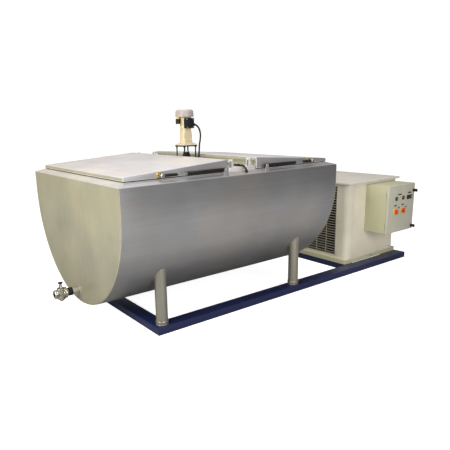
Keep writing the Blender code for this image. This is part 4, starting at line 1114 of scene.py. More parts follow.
@dataclass
class TankShell:
    """Jacket, rim band, legs and the vessel behind them.

    Args:
        shop: The geometry trees.
        length: From end face to end face.
        radius: Outer radius of the jacket.
        axis_z: Height of the bowl's axis.
        top: Height of the jacket's upper edge.
        edge_round: Radius between an end and the curved side.
        wall: Sheet thickness.
        rim_edge: Height of the rim's upright edge.
        rim_top: Height of the rim's flat top.
        rim_slope: Width of its sloping band.
        opening: Half width of the mouth, and its distance from each end.
        ear_y: Where the strut ears stand.
        ear_x: Their places along the tank.
        ear_z: Height of their studs.
        leg_x: Leg places along the tank.
        leg_y: Leg distance from the centre plane.
        leg_radius: Radius of a leg.
        leg_wall: Wall of its tube.
        outlet_z: Height of the outlet's axis.
        vessel_radius: Inner radius of the vessel.
        vessel_wall: Its wall.
        cove: Radius where its ends meet its sides.
    """

    shop: Workshop
    length: float = 1.790
    radius: float = 0.690
    axis_z: float = 0.814
    top: float = 0.957
    edge_round: float = 0.009
    wall: float = 0.0015
    rim_edge: float = 0.0035
    rim_top: float = 0.979
    rim_slope: float = 0.060
    opening: Pair = (0.605, 0.085)
    ear_y: Pair = (-0.676, -0.672)
    ear_x: Pair = (0.745, 1.095)
    ear_z: float = 1.000
    leg_x: Pair = (0.323, 1.517)
    leg_y: float = 0.529
    leg_radius: float = 0.038
    leg_wall: float = 0.003
    outlet_z: float = 0.2095
    vessel_radius: float = 0.625
    vessel_wall: float = 0.002
    cove: float = 0.018

    def build(self) -> None:
        """Builds every piece of the shell."""
        self.jacket()
        self.rim()
        self.ears()
        for end, x in zip(("left", "right"), self.leg_x):
            for side, y in (("near", -self.leg_y), ("far", self.leg_y)):
                self.leg(f"{end}_{side}_leg", x, y)
        self.vessel()
        coat(FOAM, "insulation")
        coat(BAR_STEEL, "evaporator_plate")

    def section(self, x: float, inset: float) -> list[Vector]:
        """One ring of the jacket."""
        return [bench(x, y, z) for y, z in trough(self.radius - inset, self.top, self.axis_z)]

    def jacket(self) -> None:
        """Side and ends as one rounded skin with a wall, and the outlet's hole."""
        radius = self.edge_round
        ends = [(0.0, radius * 2.2), (0.0, radius * 1.02)]
        ends += [(radius - a, radius - b) for a, b in arc((0, 0), radius, 0, 90, 5)]
        rings = [self.section(x, inset) for x, inset in ends]
        rings += [self.section(self.length * i / 12, 0.0) for i in range(1, 12)]
        rings += [self.section(self.length - x, inset) for x, inset in reversed(ends)]
        skin = loft(rings, closed=False)
        rim = [(0, -0.05), (0.0227, -0.05), (0.0227, 0.03), (0, 0.03)]
        hole = lathe(rim, bench(0, 0, self.outlet_z), ALONG)
        shell = sealed(carved(walled(skin, self.wall), hole))
        obj = fit("jacket_skin", shell, JACKET_STEEL, replaces=["outer_jacket"], smooth=28)
        # The tank's end faces take the lighter end copy of the sheet: painted light.
        paint_light_by_facing(obj, None, LIT_END_STEEL)

    def vessel(self) -> None:
        """The milk vessel: one smooth trough with coved ends, its wall outside the milk."""
        span = Span.of("inner_vessel")
        low, high = span.low.x - DATUM.x + self.vessel_wall, span.high.x - DATUM.x - self.vessel_wall
        top = span.high.z

        def ring(x: float, inset: float) -> list[Vector]:
            """One ring of the milk's side of the vessel."""
            return [bench(x, y, z) for y, z in trough(self.vessel_radius - inset, top, self.axis_z)]

        cove = [(low, self.cove * 2), (low, self.cove * 1.02)]
        cove += [(low + self.cove - a, self.cove - b) for a, b in arc((0, 0), self.cove, 0, 90, 6)]
        rings = [ring(x, inset) for x, inset in cove]
        rings += [ring(low + (high - low) * i / 10, 0.0) for i in range(1, 10)]
        rings += [ring(low + high - x, inset) for x, inset in reversed(cove)]
        skin = loft(rings, closed=False)
        middle = bench((low + high) / 2, 0, self.axis_z)
        outward = sum(1 if f.normal.dot(f.calc_center_median() - middle) > 0 else -1 for f in skin.faces)
        if outward > 0:
            bmesh.ops.reverse_faces(skin, faces=skin.faces[:])
        shell = walled(skin, self.vessel_wall - 0.0002)
        bore = [(0, -0.05), (0.0195, -0.05), (0.0195, 0.15), (0, 0.15)]
        drain = lathe(bore, bench(0, 0, self.outlet_z), ALONG, 40)
        fit("milk_vessel", carved(shell, drain), VESSEL_STEEL, replaces=["inner_vessel"])
        line = trough(self.vessel_radius - 0.0002, top - 0.004, self.axis_z)
        joints = [[bench(x, y, z) for y, z in line] for x in (low + self.cove, high - self.cove)]
        self.shop.weld("vessel_seams", joints, 0.0010, VESSEL_STEEL)

    def rim(self) -> None:
        """The folded band round the mouth, with its sloping skirt and turned-down lip."""
        base, edge, high = self.top + 0.0002, self.top + self.rim_edge, self.rim_top
        mouth_y, mouth_x = self.opening
        skin = 0.003
        profile = [
            (0.0, base),
            (0.0, edge - 0.0012),
            (0.0006, edge - 0.0002),
            (0.0022, edge + 0.0005),
            (self.rim_slope - 0.008, high - 0.0031),
            (self.rim_slope - 0.004, high - 0.0017),
            (self.rim_slope, high - 0.0007),
            (self.rim_slope + 0.005, high),
            (0.0, high),
            (0.0, high - 0.0015),
            (0.0, base),
            (0.0, base),
            (self.rim_slope, high - skin),
            (skin, base + 0.001),
        ]
        lips = {8: -0.0025, 9: 0.0, 10: 0.0, 11: -skin}
        rings = []
        for i, (inset, z) in enumerate(profile):
            if i in lips:
                x0, y0 = mouth_x + lips[i], self.radius - mouth_y + lips[i]
            else:
                x0 = y0 = inset
            outline = rounded((x0, self.length - x0), (-self.radius + y0, self.radius - y0), 0.010, 6)
            rings.append([bench(a, b, z) for a, b in outline])
        rings.append(rings[0])
        band = sealed(loft(rings, caps=False))
        rim = fit("rim_band", band, RIM_STEEL, replaces=["tank_rim"], smooth=32)
        # The band's near and far faces take the darker side copy: painted shade.
        paint_light_by_facing(rim, SHADED_LID_SIDE, None)
        seams = []
        for x, way in ((0.0, 1), (self.length, -1)):
            for side in (-1, 1):
                low = bench(x + way * 0.006, side * (self.radius - 0.006), edge + 0.0016)
                bend = bench(x + way * self.rim_slope, side * (self.radius - self.rim_slope), high - 0.0008)
                end = bench(x + way * (mouth_x - 0.002), side * (mouth_y + 0.001), high - 0.0004)
                seams.append([low, bend, end])
        self.shop.weld("rim_corner_welds", seams, 0.0011, RIM_STEEL)
        x_ends, y_ends = (0.0012, self.length - 0.0012), (0.0012 - self.radius, self.radius - 0.0012)
        lip = [bench(a, b, self.top + 0.0002) for a, b in rounded(x_ends, y_ends, 0.010, 6)]
        self.shop.weld("rim_seam_weld", [lip + lip[:1]], 0.0008, WELD)

    def ears(self) -> None:
        """The two ears on the near side, their studs, washers and nuts, and their welds."""
        parts, lines, nuts = [], [], []
        for x in self.ear_x:
            outline = [
                (x - 0.022, 0.9610),
                (x + 0.022, 0.9610),
                (x + 0.021, 0.9700),
                *arc((x, self.ear_z), 0.012, -20, 200, 20),
                (x - 0.021, 0.9700),
            ]
            parts.append(upright(outline, *self.ear_y, 0.0008))
            stud = [(0, 0.0), (0.0034, 0.0), (0.004, 0.0006), (0.004, 0.0238), (0.0034, 0.0244), (0, 0.0244)]
            parts.append(lathe(stud, bench(x, -0.6744, self.ear_z), FAR, 20))
            lines.append([bench(x - 0.021, self.ear_y[0], 0.9635), bench(x + 0.021, self.ear_y[0], 0.9635)])
            nuts.append(bench(x, self.ear_y[0] - 0.0004, self.ear_z))
        # The ears take the darker side copy of the lid sheet: painted shade.
        fit("strut_ears", gathered(*parts), SHADED_LID_SIDE)
        self.shop.weld("strut_ear_welds", lines, 0.0018)
        self.shop.bolt("strut_ear_nuts", nuts, NEAR, head=0.0062, height=0.0045)

    def leg(self, name: str, x: float, y: float) -> None:
        """A tube leg, cut to the jacket, with a ring above its foot and a weld at each end."""
        base, outer, bore = 0.0502, self.leg_radius, self.leg_radius - self.leg_wall
        unit = arc((0, 0), 1, 0, 360, 64)[:-1]

        def ring(radius: float, z: float | None) -> list[Vector]:
            """A level ring, or one that lies on the jacket where z is None."""
            points = []
            for a, b in unit:
                py = y + radius * b
                height = z if z is not None else self.axis_z - math.sqrt((self.radius + 0.0004) ** 2 - py * py)
                points.append(bench(x + radius * a, py, height))
            return points

        collar = [(0.0, 0.012), (0.0028, 0.0128), (0.004, 0.0150), (0.004, 0.0230), (0.0028, 0.0252), (0.0, 0.026)]
        rings = [ring(bore, None), ring(outer, None)]
        rings += [ring(outer, z) for z in (0.28, 0.20, 0.12)]
        rings += [ring(outer + grow, base + z) for grow, z in reversed(collar)]
        rings += [ring(outer, base), ring(bore, base), ring(bore, None)]
        fit(f"{name}_tube", sealed(loft(rings, caps=False)), LEG_STEEL, replaces=[name])
        joints = [ring(outer + 0.0006, None), ring(outer + 0.001, base + 0.0012)]
        self.shop.weld(f"{name}_welds", [[*line, line[0]] for line in joints], 0.0023)


@dataclass
class Bridge:
    """The fixed cover between the lids, with its hinge lugs, pins and the lead's clips.

    Args:
        shop: The geometry trees.
        x: Its middle.
        half: Half of its width.
        brim_half: Half of its brim's width.
        reach: Half of its length over the rim.
        inner_reach: Half of its length between the rim's lips.
        seat: Height that it rests at.
        top: Height of its top.
        hinge_offset: From its middle to each hinge pin.
        hinge_z: Height of the pins.
        knuckle_y: Distance of the knuckles from the centre plane.
    """

    shop: Workshop
    x: float = 0.920
    half: float = 0.114
    brim_half: float = 0.145
    reach: float = 0.625
    inner_reach: float = 0.6045
    seat: float = 0.9792
    top: float = 1.003
    hinge_offset: float = 0.075
    hinge_z: float = 1.045
    knuckle_y: float = 0.600

    def build(self) -> None:
        """Builds the cover, lugs, pins, clips and bolts."""
        self.cover()
        self.lugs()
        for side in Side:
            self.pin(side)
        self.clips()
        corners = [bench(self.x + sx * 0.094, sy * 0.604, self.top + 0.0004) for sx in (-1, 1) for sy in (-1, 1)]
        self.shop.bolt("bridge_bolts", corners, UP, head=0.0055, height=0.0035)

    def cover(self) -> None:
        """A folded tray, open underneath, with the web and brim that drop into the mouth."""
        x0, x1 = self.x - self.half, self.x + self.half
        inside = (bench(x0 + 0.004, -0.6005, 0.9), bench(x1 - 0.004, 0.6005, self.top - 0.003))
        crown = block(bench(x0, -self.reach, self.seat), bench(x1, self.reach, self.top))
        top_edges = [e for e in crown.edges if sum(v.co.z for v in e.verts) / 2 > self.seat + 0.001]
        softened(crown, top_edges, 0.005, 4)
        crown = carved(crown, block(*inside))
        web = block(bench(x0, -self.inner_reach, 0.976), bench(x1, self.inner_reach, 0.991))
        web = carved(web, block(*inside))
        brims = []
        for sign in (-1, 1):
            low, high = sorted((self.x + sign * self.half, self.x + sign * self.brim_half))
            corners = (bench(low, -self.inner_reach, 0.976), bench(high, self.inner_reach, 0.979))
            brims.append(block(*corners, 0.0008, 2))
        fit("bridge_cover", gathered(crown, web, *brims), LID_STEEL, replaces=["bridge"])

    def lugs(self) -> None:
        """Upright lugs, two to each knuckle."""
        parts, lines = [], []
        for side in Side:
            x = self.x + side.value * self.hinge_offset
            for sign in (-1, 1):
                for offset in (-0.0125, 0.0125):
                    y = sign * self.knuckle_y + offset
                    crown, root = arc((x, self.hinge_z), 0.009, 0, 180, 16), self.top - 0.001
                    outline = [(x + 0.009, root), *crown, (x - 0.009, root)]
                    parts.append(upright(outline, y - 0.004, y + 0.004, 0.0008))
                    for edge in (-0.0042, 0.0042):
                        lines.append([bench(x - 0.009, y + edge, self.top), bench(x + 0.009, y + edge, self.top)])
        fit("hinge_lugs", gathered(*parts), LID_STEEL)
        self.shop.weld("hinge_lug_welds", lines, 0.0013)

    def pin(self, side: Side) -> None:
        """A long pin with domed heads."""
        half, head, radius = self.knuckle_y + 0.0170, 0.005, 0.0048
        middle = Span.of(f"{side.label}_hinge_pin").centre
        dome = [(0.0080, 0), (0.0080, -head + 0.0028), (0.0074, -head + 0.0012), (0.0050, -head), (0, -head)]
        profile = [(a, 2 * half - b) for a, b in reversed(dome)] + [(radius, 2 * half), (radius, 0)] + dome
        start = Vector((middle.x, DATUM.y - half, middle.z))
        shape = lathe(profile, start, FAR, 32)
        # The rod takes the olive end copy of the lid sheet: painted shade.
        fit(f"{side.label}_hinge_rod", shape, SHADED_LID_END, replaces=[f"{side.label}_hinge_pin"])

    def clips(self) -> None:
        """Saddle clips that hold the lead down."""
        clips, screws = [], []
        for x, y in ((0.9285, -0.290), (0.9215, -0.430), (0.9200, -0.585)):
            outer = arc((0, 0), 0.0076, 0, 180, 16)
            inner = arc((0, 0), 0.0063, 180, 0, 16)
            outline = [(0.0076, -0.0068), *outer, (-0.0076, -0.0068), (-0.0063, -0.0068), *inner, (0.0063, -0.0068)]
            clips.append(upright([(x + a, 1.0103 + b) for a, b in outline], y - 0.005, y + 0.005))
            for sign in (-1, 1):
                low, high = sorted((x + sign * 0.0072, x + sign * 0.0160))
                tab = (bench(low, y - 0.005, self.top), bench(high, y + 0.005, self.top + 0.0012))
                clips.append(block(*tab, 0.0004, 1))
                screws.append(bench(x + sign * 0.0115, y, self.top + 0.0016))
        fit("lead_clips", gathered(*clips), BLACK_PLASTIC)
        self.shop.bolt("lead_clip_screws", screws, UP, head=0.0024, height=0.0012, sides=12)


@dataclass
class Lid:
    """A hinged lid with its knuckles, bracket and strut.

    Args:
        shop: The geometry trees.
        side: Which way it runs from the bridge.
        outer: Its outer edge.
        inner: Its edge at the hinge.
        half_width: Half of its width.
        bottom: Height of its lower edge.
        edge_height: Height of its outer edge above that.
        hinge_height: Height of its hinge edge above that.
        hinge_x: Place of the hinge pin.
        hinge_z: Height of the hinge pin.
        fold: Radius of its folded edges.
        sheet: Sheet thickness.
        strut_y: The strut's plane.
        strut_z: The strut's height.
        rim_offset: From the hinge pin to the strut's lower stud.
        lid_offset: From the hinge pin to its upper stud.
        tube_length: Length of the strut's tube.
    """

    shop: Workshop
    side: Side
    outer: float
    inner: float
    hinge_x: float
    half_width: float = 0.625
    bottom: float = 0.984
    edge_height: float = 0.022
    hinge_height: float = 0.071
    hinge_z: float = 1.045
    fold: float = 0.0045
    sheet: float = 0.0015
    strut_y: float = -0.660
    strut_z: float = 1.000
    rim_offset: float = 0.100
    lid_offset: float = 0.555
    tube_length: float = 0.280

    @property
    def body(self) -> str:
        """The lid's body."""
        return f"{self.side.label}_lid"

    def build(self) -> None:
        """Builds the lid, its knuckles and bracket, and the strut."""
        self.cover()
        self.knuckles()
        self.bracket()
        self.strut()
        coat(RUBBER, f"{self.body}_gasket")

    def cover(self) -> None:
        """One sheet, folded down on all four sides."""
        outline = [
            (self.outer, self.bottom),
            (self.inner, self.bottom),
            (self.inner, self.bottom + self.hinge_height),
            (self.outer, self.bottom + self.edge_height),
        ]
        shell = upright(outline, -self.half_width, self.half_width)
        under = [f for f in shell.faces if f.normal.z < -0.99]
        low = {e for f in under for e in f.edges}
        softened(shell, [e for e in shell.edges if e not in low], self.fold, 5)
        under = [f for f in shell.faces if f.normal.z < -0.99]
        bmesh.ops.delete(shell, geom=under, context="FACES_ONLY")
        bmesh.ops.recalc_face_normals(shell, faces=shell.faces[:])
        shell = walled(shell, self.sheet)
        sheet = fit(f"{self.body}_sheet", shell, LID_STEEL, self.body, [self.body])
        # Sides take the darker copy and ends the olive copy of the lid sheet: painted shade.
        paint_light_by_facing(sheet, SHADED_LID_SIDE, SHADED_LID_END)
        edge = rounded(sorted((self.outer, self.inner)), (-self.half_width, self.half_width), self.fold, 6)
        hem = [bench(a, b, self.bottom + 0.0016) for a, b in edge]
        fit(f"{self.body}_hem", pipe(hem + hem[:1], 0.0016, 8), LID_STEEL, self.body)

    def knuckles(self) -> None:
        """Two rolled knuckles on the high edge, with their weld."""
        parts, lines = [], []
        way = 1 if self.hinge_x > self.inner else -1
        root = self.inner - way * 0.002
        for sign in (-1, 1):
            y = sign * 0.600
            turn = [(self.hinge_x + way * a, self.hinge_z + b) for a, b in arc((0, 0), 0.009, -90, 90, 16)]
            outline = [(root, self.hinge_z - 0.009), *turn, (root, self.hinge_z + 0.006)]
            parts.append(upright(outline, y - 0.007, y + 0.007, 0.0008))
            for edge in (-0.0074, 0.0074):
                lines.append([bench(self.inner, y + edge, self.hinge_z + end) for end in (-0.009, 0.005)])
        fit(f"{self.body}_knuckles", gathered(*parts), LID_STEEL, self.body)
        self.shop.weld(f"{self.body}_knuckle_welds", lines, 0.0014, WELD, self.body)

    def bracket(self) -> None:
        """The yellow plate that carries the strut's upper stud, with its boss and bolts."""
        x = self.hinge_x + self.side.value * self.lid_offset
        y = (-self.half_width - 0.0045, -self.half_width - 0.0002)
        outline = rounded((x - 0.018, x + 0.018), (self.bottom + 0.004, self.strut_z + 0.018), 0.004, 5)
        parts = [upright(outline, *y, 0.0006)]
        boss = [(0, 0), (0.0075, 0), (0.0075, 0.0020), (0.0068, 0.0022), (0.0068, 0.0200), (0.0060, 0.0210), (0, 0.0210)]
        parts.append(lathe(boss, bench(x, y[0], self.strut_z), NEAR, 28))
        fit(f"{self.body}_arm", gathered(*parts), PASSIVATED, self.body, [f"{self.body}_bracket"])
        holes = [bench(x + a, y[0] - 0.0003, self.strut_z + b) for b in (-0.007, 0.012) for a in (-0.012, 0.012)]
        self.shop.bolt(
            f"{self.body}_arm_screws", holes, NEAR, head=0.0026, height=0.0014, body=self.body, sides=12
        )

    def strut(self) -> None:
        """A gas strut: black tube with its eye on the rim's stud, bright rod with its eye on the lid's."""
        low = bench(self.hinge_x + self.side.value * self.rim_offset, self.strut_y, self.strut_z)
        high = bench(self.hinge_x + self.side.value * self.lid_offset, self.strut_y, self.strut_z)
        way, reach, label = (high - low).normalized(), (high - low).length, self.side.label
        tube = [
            (0, 0.009),
            (0.0080, 0.009),
            (0.0095, 0.016),
            (0.0110, 0.022),
            (0.0110, self.tube_length - 0.016),
            (0.0103, self.tube_length - 0.014),
            (0.0103, self.tube_length - 0.011),
            (0.0110, self.tube_length - 0.009),
            (0.0110, self.tube_length - 0.003),
            (0.0088, self.tube_length),
            (0.0056, self.tube_length),
            (0.0056, 0.045),
            (0, 0.045),
        ]
        shape = gathered(lathe(tube, low, way, 40), self.eye(low))
        fit(f"{label}_strut_case", shape, BLACK_STEEL, f"{label}_strut_tube", [f"{label}_strut_tube"])
        rod = [
            (0, 0.050),
            (0.0050, 0.050),
            (0.0050, reach - 0.064),
            (0.0066, reach - 0.062),
            (0.0082, reach - 0.056),
            (0.0084, reach - 0.030),
            (0.0078, reach - 0.028),
            (0.0084, reach - 0.026),
            (0.0080, reach - 0.012),
            (0, reach - 0.010),
        ]
        shape = gathered(lathe(rod, low, way, 40), self.eye(high))
        fit(f"{label}_strut_plunger", shape, BAR_STEEL, f"{label}_strut_rod", [f"{label}_strut_rod"])
        sleeve = [
            (0.0051, reach - 0.105),
            (0.0078, reach - 0.103),
            (0.0086, reach - 0.099),
            (0.0086, reach - 0.068),
            (0.0092, reach - 0.064),
            (0.0092, reach - 0.018),
            (0.0080, reach - 0.013),
            (0.0051, reach - 0.013),
        ]
        cover = lathe(softened_profile(sleeve, 0.001, 2), low, way, 40)
        fit(f"{label}_strut_socket", cover, BLACK_STEEL, f"{label}_strut_rod")
        ring = [(0.0112, 0.0), (0.0118, 0.001), (0.0118, 0.006), (0.0112, 0.007), (0.0100, 0.0035)]
        band = lathe(ring, low + way * 0.100, way, 40)
        fit(f"{label}_strut_band", band, BLACK_STEEL, f"{label}_strut_tube")

    def eye(self, centre: Vector) -> Shape:
        """A rounded eye about a stud."""
        profile = [
            (0.0044, -0.0078),
            (0.0100, -0.0078),
            (0.0114, -0.0070),
            (0.0120, -0.0056),
            (0.0120, 0.0056),
            (0.0114, 0.0070),
            (0.0100, 0.0078),
            (0.0044, 0.0078),
        ]
        return lathe(profile, centre, FAR, 36)


@dataclass
class BaseFrame:
    """The box-section frame that carries tank and unit.

    Args:
        shop: The geometry trees.
        x: Its ends.
        half: Half of its width.
        width: Width of a beam.
        height: Height of a beam.
        wall: Wall of a beam.
        member_x: Start of the middle cross member.
    """

    shop: Workshop
    x: Pair = (0.260, 2.970)
    half: float = 0.587
    width: float = 0.100
    height: float = 0.050
    wall: float = 0.004
    member_x: float = 2.212

    def build(self) -> None:
        """Two rails mitred to the left member, and two more members between them."""
        x0, x1 = self.x
        inner = self.half - self.width
        for name, sign in (("near_rail", -1), ("far_rail", 1)):
            outline = [(x0, sign * self.half), (x1, sign * self.half), (x1, sign * inner), (x0 + self.width, sign * inner)]
            ends = (x1 - 0.30, x1 + 0.02)
            y = sorted((sign * (self.half - self.wall), sign * (inner + self.wall)))
            hollow = block(bench(ends[0], y[0], self.wall), bench(ends[1], y[1], self.height - self.wall))
            self.beam(f"{name}_section", outline, name, hollow)
        outline = [(x0, -self.half), (x0 + self.width, -inner), (x0 + self.width, inner), (x0, self.half)]
        self.beam("left_member_section", outline, "left_cross_member")
        members = (("unit_cross_member", self.member_x), ("right_cross_member", x1 - self.width))
        lines = []
        for name, x in members:
            outline = [(x, -inner), (x + self.width, -inner), (x + self.width, inner), (x, inner)]
            self.beam(f"{name}_section", outline, name)
            for sign in (-1, 1):
                y, top = sign * (inner - 0.0006), self.height - 0.0006
                lines.append([bench(x + 0.002, y, top), bench(x + self.width - 0.002, y, top)])
                lines.append([bench(x - 0.0006, y, 0.003), bench(x - 0.0006, y, self.height - 0.003)])
        for sign in (-1, 1):
            start = bench(x0 + 0.003, sign * (self.half - 0.003), self.height - 0.0016)
            lines.append([start, bench(x0 + self.width, sign * inner, self.height - 0.0016)])
            lines.append([bench(x0 + 0.0014, sign * (self.half - 0.0014), 0.004), start])
        self.shop.weld("frame_welds", lines, 0.0022, NAVY)

    def beam(
        self, name: str, outline: Sequence[Pair], node: str, hollow: Shape | None = None
    ) -> None:
        """One beam with rounded long edges, hollow where its end is open."""
        bm = level(outline, 0.0, self.height)
        level_edges = [e for e in bm.edges if abs(e.verts[0].co.z - e.verts[1].co.z) < 1e-6]
        long_edges = [e for e in level_edges if e.calc_length() > 0.5]
        softened(bm, long_edges, 0.0045, 4)
        if hollow is not None:
            bm = carved(bm, hollow)
        fit(name, bm, NAVY, replaces=[node])


@dataclass
class Outlet:
    """Pipe, union nut and plug valve at the tank's low end.

    Args:
        shop: The geometry trees.
        z: Height of its axis.
        valve_x: Place of the plug.
        end_x: Face of the spout.
        bore: Radius of the way through.
        pipe: Outer and inner radius of the pipe.
    """

    shop: Workshop
    z: float = 0.2095
    valve_x: float = -0.126
    end_x: float = -0.173
    bore: float = 0.016
    pipe: Pair = (0.0225, 0.0195)

    def build(self) -> None:
        """Builds the pipe, nut, valve body, plug and knob."""
        line, start = ALONG, bench(0, 0, self.z)
        outer, inner = self.pipe
        tube = lathe([(outer, 0.0776), (outer, -0.088), (inner, -0.088), (inner, 0.0776)], start, line, 56)
        collar = softened_profile(
            [(outer + 0.0004, -0.0004), (0.0345, -0.0004), (0.0345, -0.0034), (0.0290, -0.0040), (outer + 0.0004, -0.0070)],
            0.0012,
        )
        fit("outlet_tube", tube, VESSEL_STEEL, replaces=["outlet_pipe"])
        # The collar takes the lighter end copy of the jacket sheet: painted light.
        fit("outlet_collar", lathe(collar, start, line, 56), LIT_END_STEEL)
        ring = [start + Vector((-0.0006, 0.0345 * a, 0.0345 * b)) for a, b in arc((0, 0), 1, 0, 360, 48)]
        self.shop.weld("outlet_weld", [ring], 0.0016)
        nut = [
            (0.0262, -0.0510),
            (0.0272, -0.0520),
            (0.0272, -0.0780),
            (0.0245, -0.0820),
            (outer + 0.0004, -0.0820),
            (outer + 0.0004, -0.0510),
        ]
        turn = line.to_track_quat("Z", "Y").to_matrix().to_4x4()
        ridges = self.shop.knurls.make(
            spots([Vector()]), BLACK_PLASTIC, Count=28, Radius=0.0262, Size=(0.0026, 0.0022, 0.0240)
        )
        ridges.transform(Matrix.Translation(start + Vector((-0.0650, 0, 0))) @ turn)
        nut_mesh = gathered(lathe(nut, start, line, 56), ridges)
        fit("outlet_union_ring", nut_mesh, BLACK_PLASTIC, replaces=["outlet_union_nut"])
        self.valve(start, line)
        self.plug()

    def valve(self, start: Vector, line: Vector) -> None:
        """The valve's body: liner end, barrel and flared spout, bored through."""
        body = softened_profile(
            [
                (0, -0.0885),
                (0.0340, -0.0885),
                (0.0370, -0.0905),
                (0.0370, -0.1010),
                (0.0300, -0.1040),
                (0.0240, -0.1080),
                (0.0235, -0.1460),
                (0.0250, -0.1490),
                (0.0290, -0.1520),
                (0.0300, -0.1560),
                (0.0270, -0.1585),
                (0.0300, -0.1610),
                (0.0300, -0.1680),
                (0.0270, self.end_x),
                (0, self.end_x),
            ],
            0.0012,
            2,
        )
        centre = bench(self.valve_x, 0, self.z)

        def bored(solid: Shape) -> Shape:
            """The solid with the way through and the plug's seat cut out."""
            way = lathe([(0, -0.20), (self.bore, -0.20), (self.bore, -0.05), (0, -0.05)], start, line, 48)
            seat = lathe([(0, -0.06), (0.0198, -0.06), (0.0198, 0.06), (0, 0.06)], centre, UP, 48)
            return carved(solid, way, seat)

        barrel = softened_profile(
            [(0, -0.0365), (0.0250, -0.0365), (0.0265, -0.0350), (0.0265, 0.0350), (0.0250, 0.0365), (0, 0.0365)],
            0.0010,
            2,
        )
        parts = [bored(lathe(body, start, line, 64)), bored(lathe(barrel, centre, UP, 64))]
        fit("valve_casting", gathered(*parts), VALVE_CHROME_PAINTED_REFLECTION, replaces=["valve_body"])

    def plug(self) -> None:
        """The turning plug with its hex, stem and knob."""
        x, centre = self.valve_x, bench(self.valve_x, 0, self.z)
        profile = [
            (0, 0.0693),
            (0.0085, 0.0693),
            (0.0095, 0.0685),
            (0.0095, 0.0560),
            (0.0075, 0.0545),
            (0.0095, 0.0530),
            (0.0120, 0.0420),
            (0.0218, 0.0395),
            (0.0225, 0.0388),
            (0.0225, 0.0375),
            (0.0195, 0.0375),
            (0.0195, -0.0385),
            (0.0225, -0.0385),
            (0.0225, -0.0402),
            (0.0218, -0.0410),
            (0, -0.0410),
        ]
        port = lathe([(0, -0.03), (0.0135, -0.03), (0.0135, 0.03), (0, 0.03)], centre, FAR, 40)
        stem = carved(lathe(profile, centre, UP, 56), port)
        nut = level(arc((x, 0), 0.0119, 0, 360, 6)[:-1], self.z - 0.0520, self.z - 0.0408, 0.0008)
        fit("valve_stem", gathered(stem, nut), VALVE_CHROME_PAINTED_REFLECTION, "outlet_plug", ["valve_plug"])
        outline = rounded((x - 0.016, x + 0.016), (-0.010, 0.010), 0.0075, 8)
        grip = level(outline, self.z + 0.0695, self.z + 0.0785, 0.0024, 4)
        fit("valve_grip", grip, BLACK_PLASTIC, "outlet_plug", ["valve_knob"])


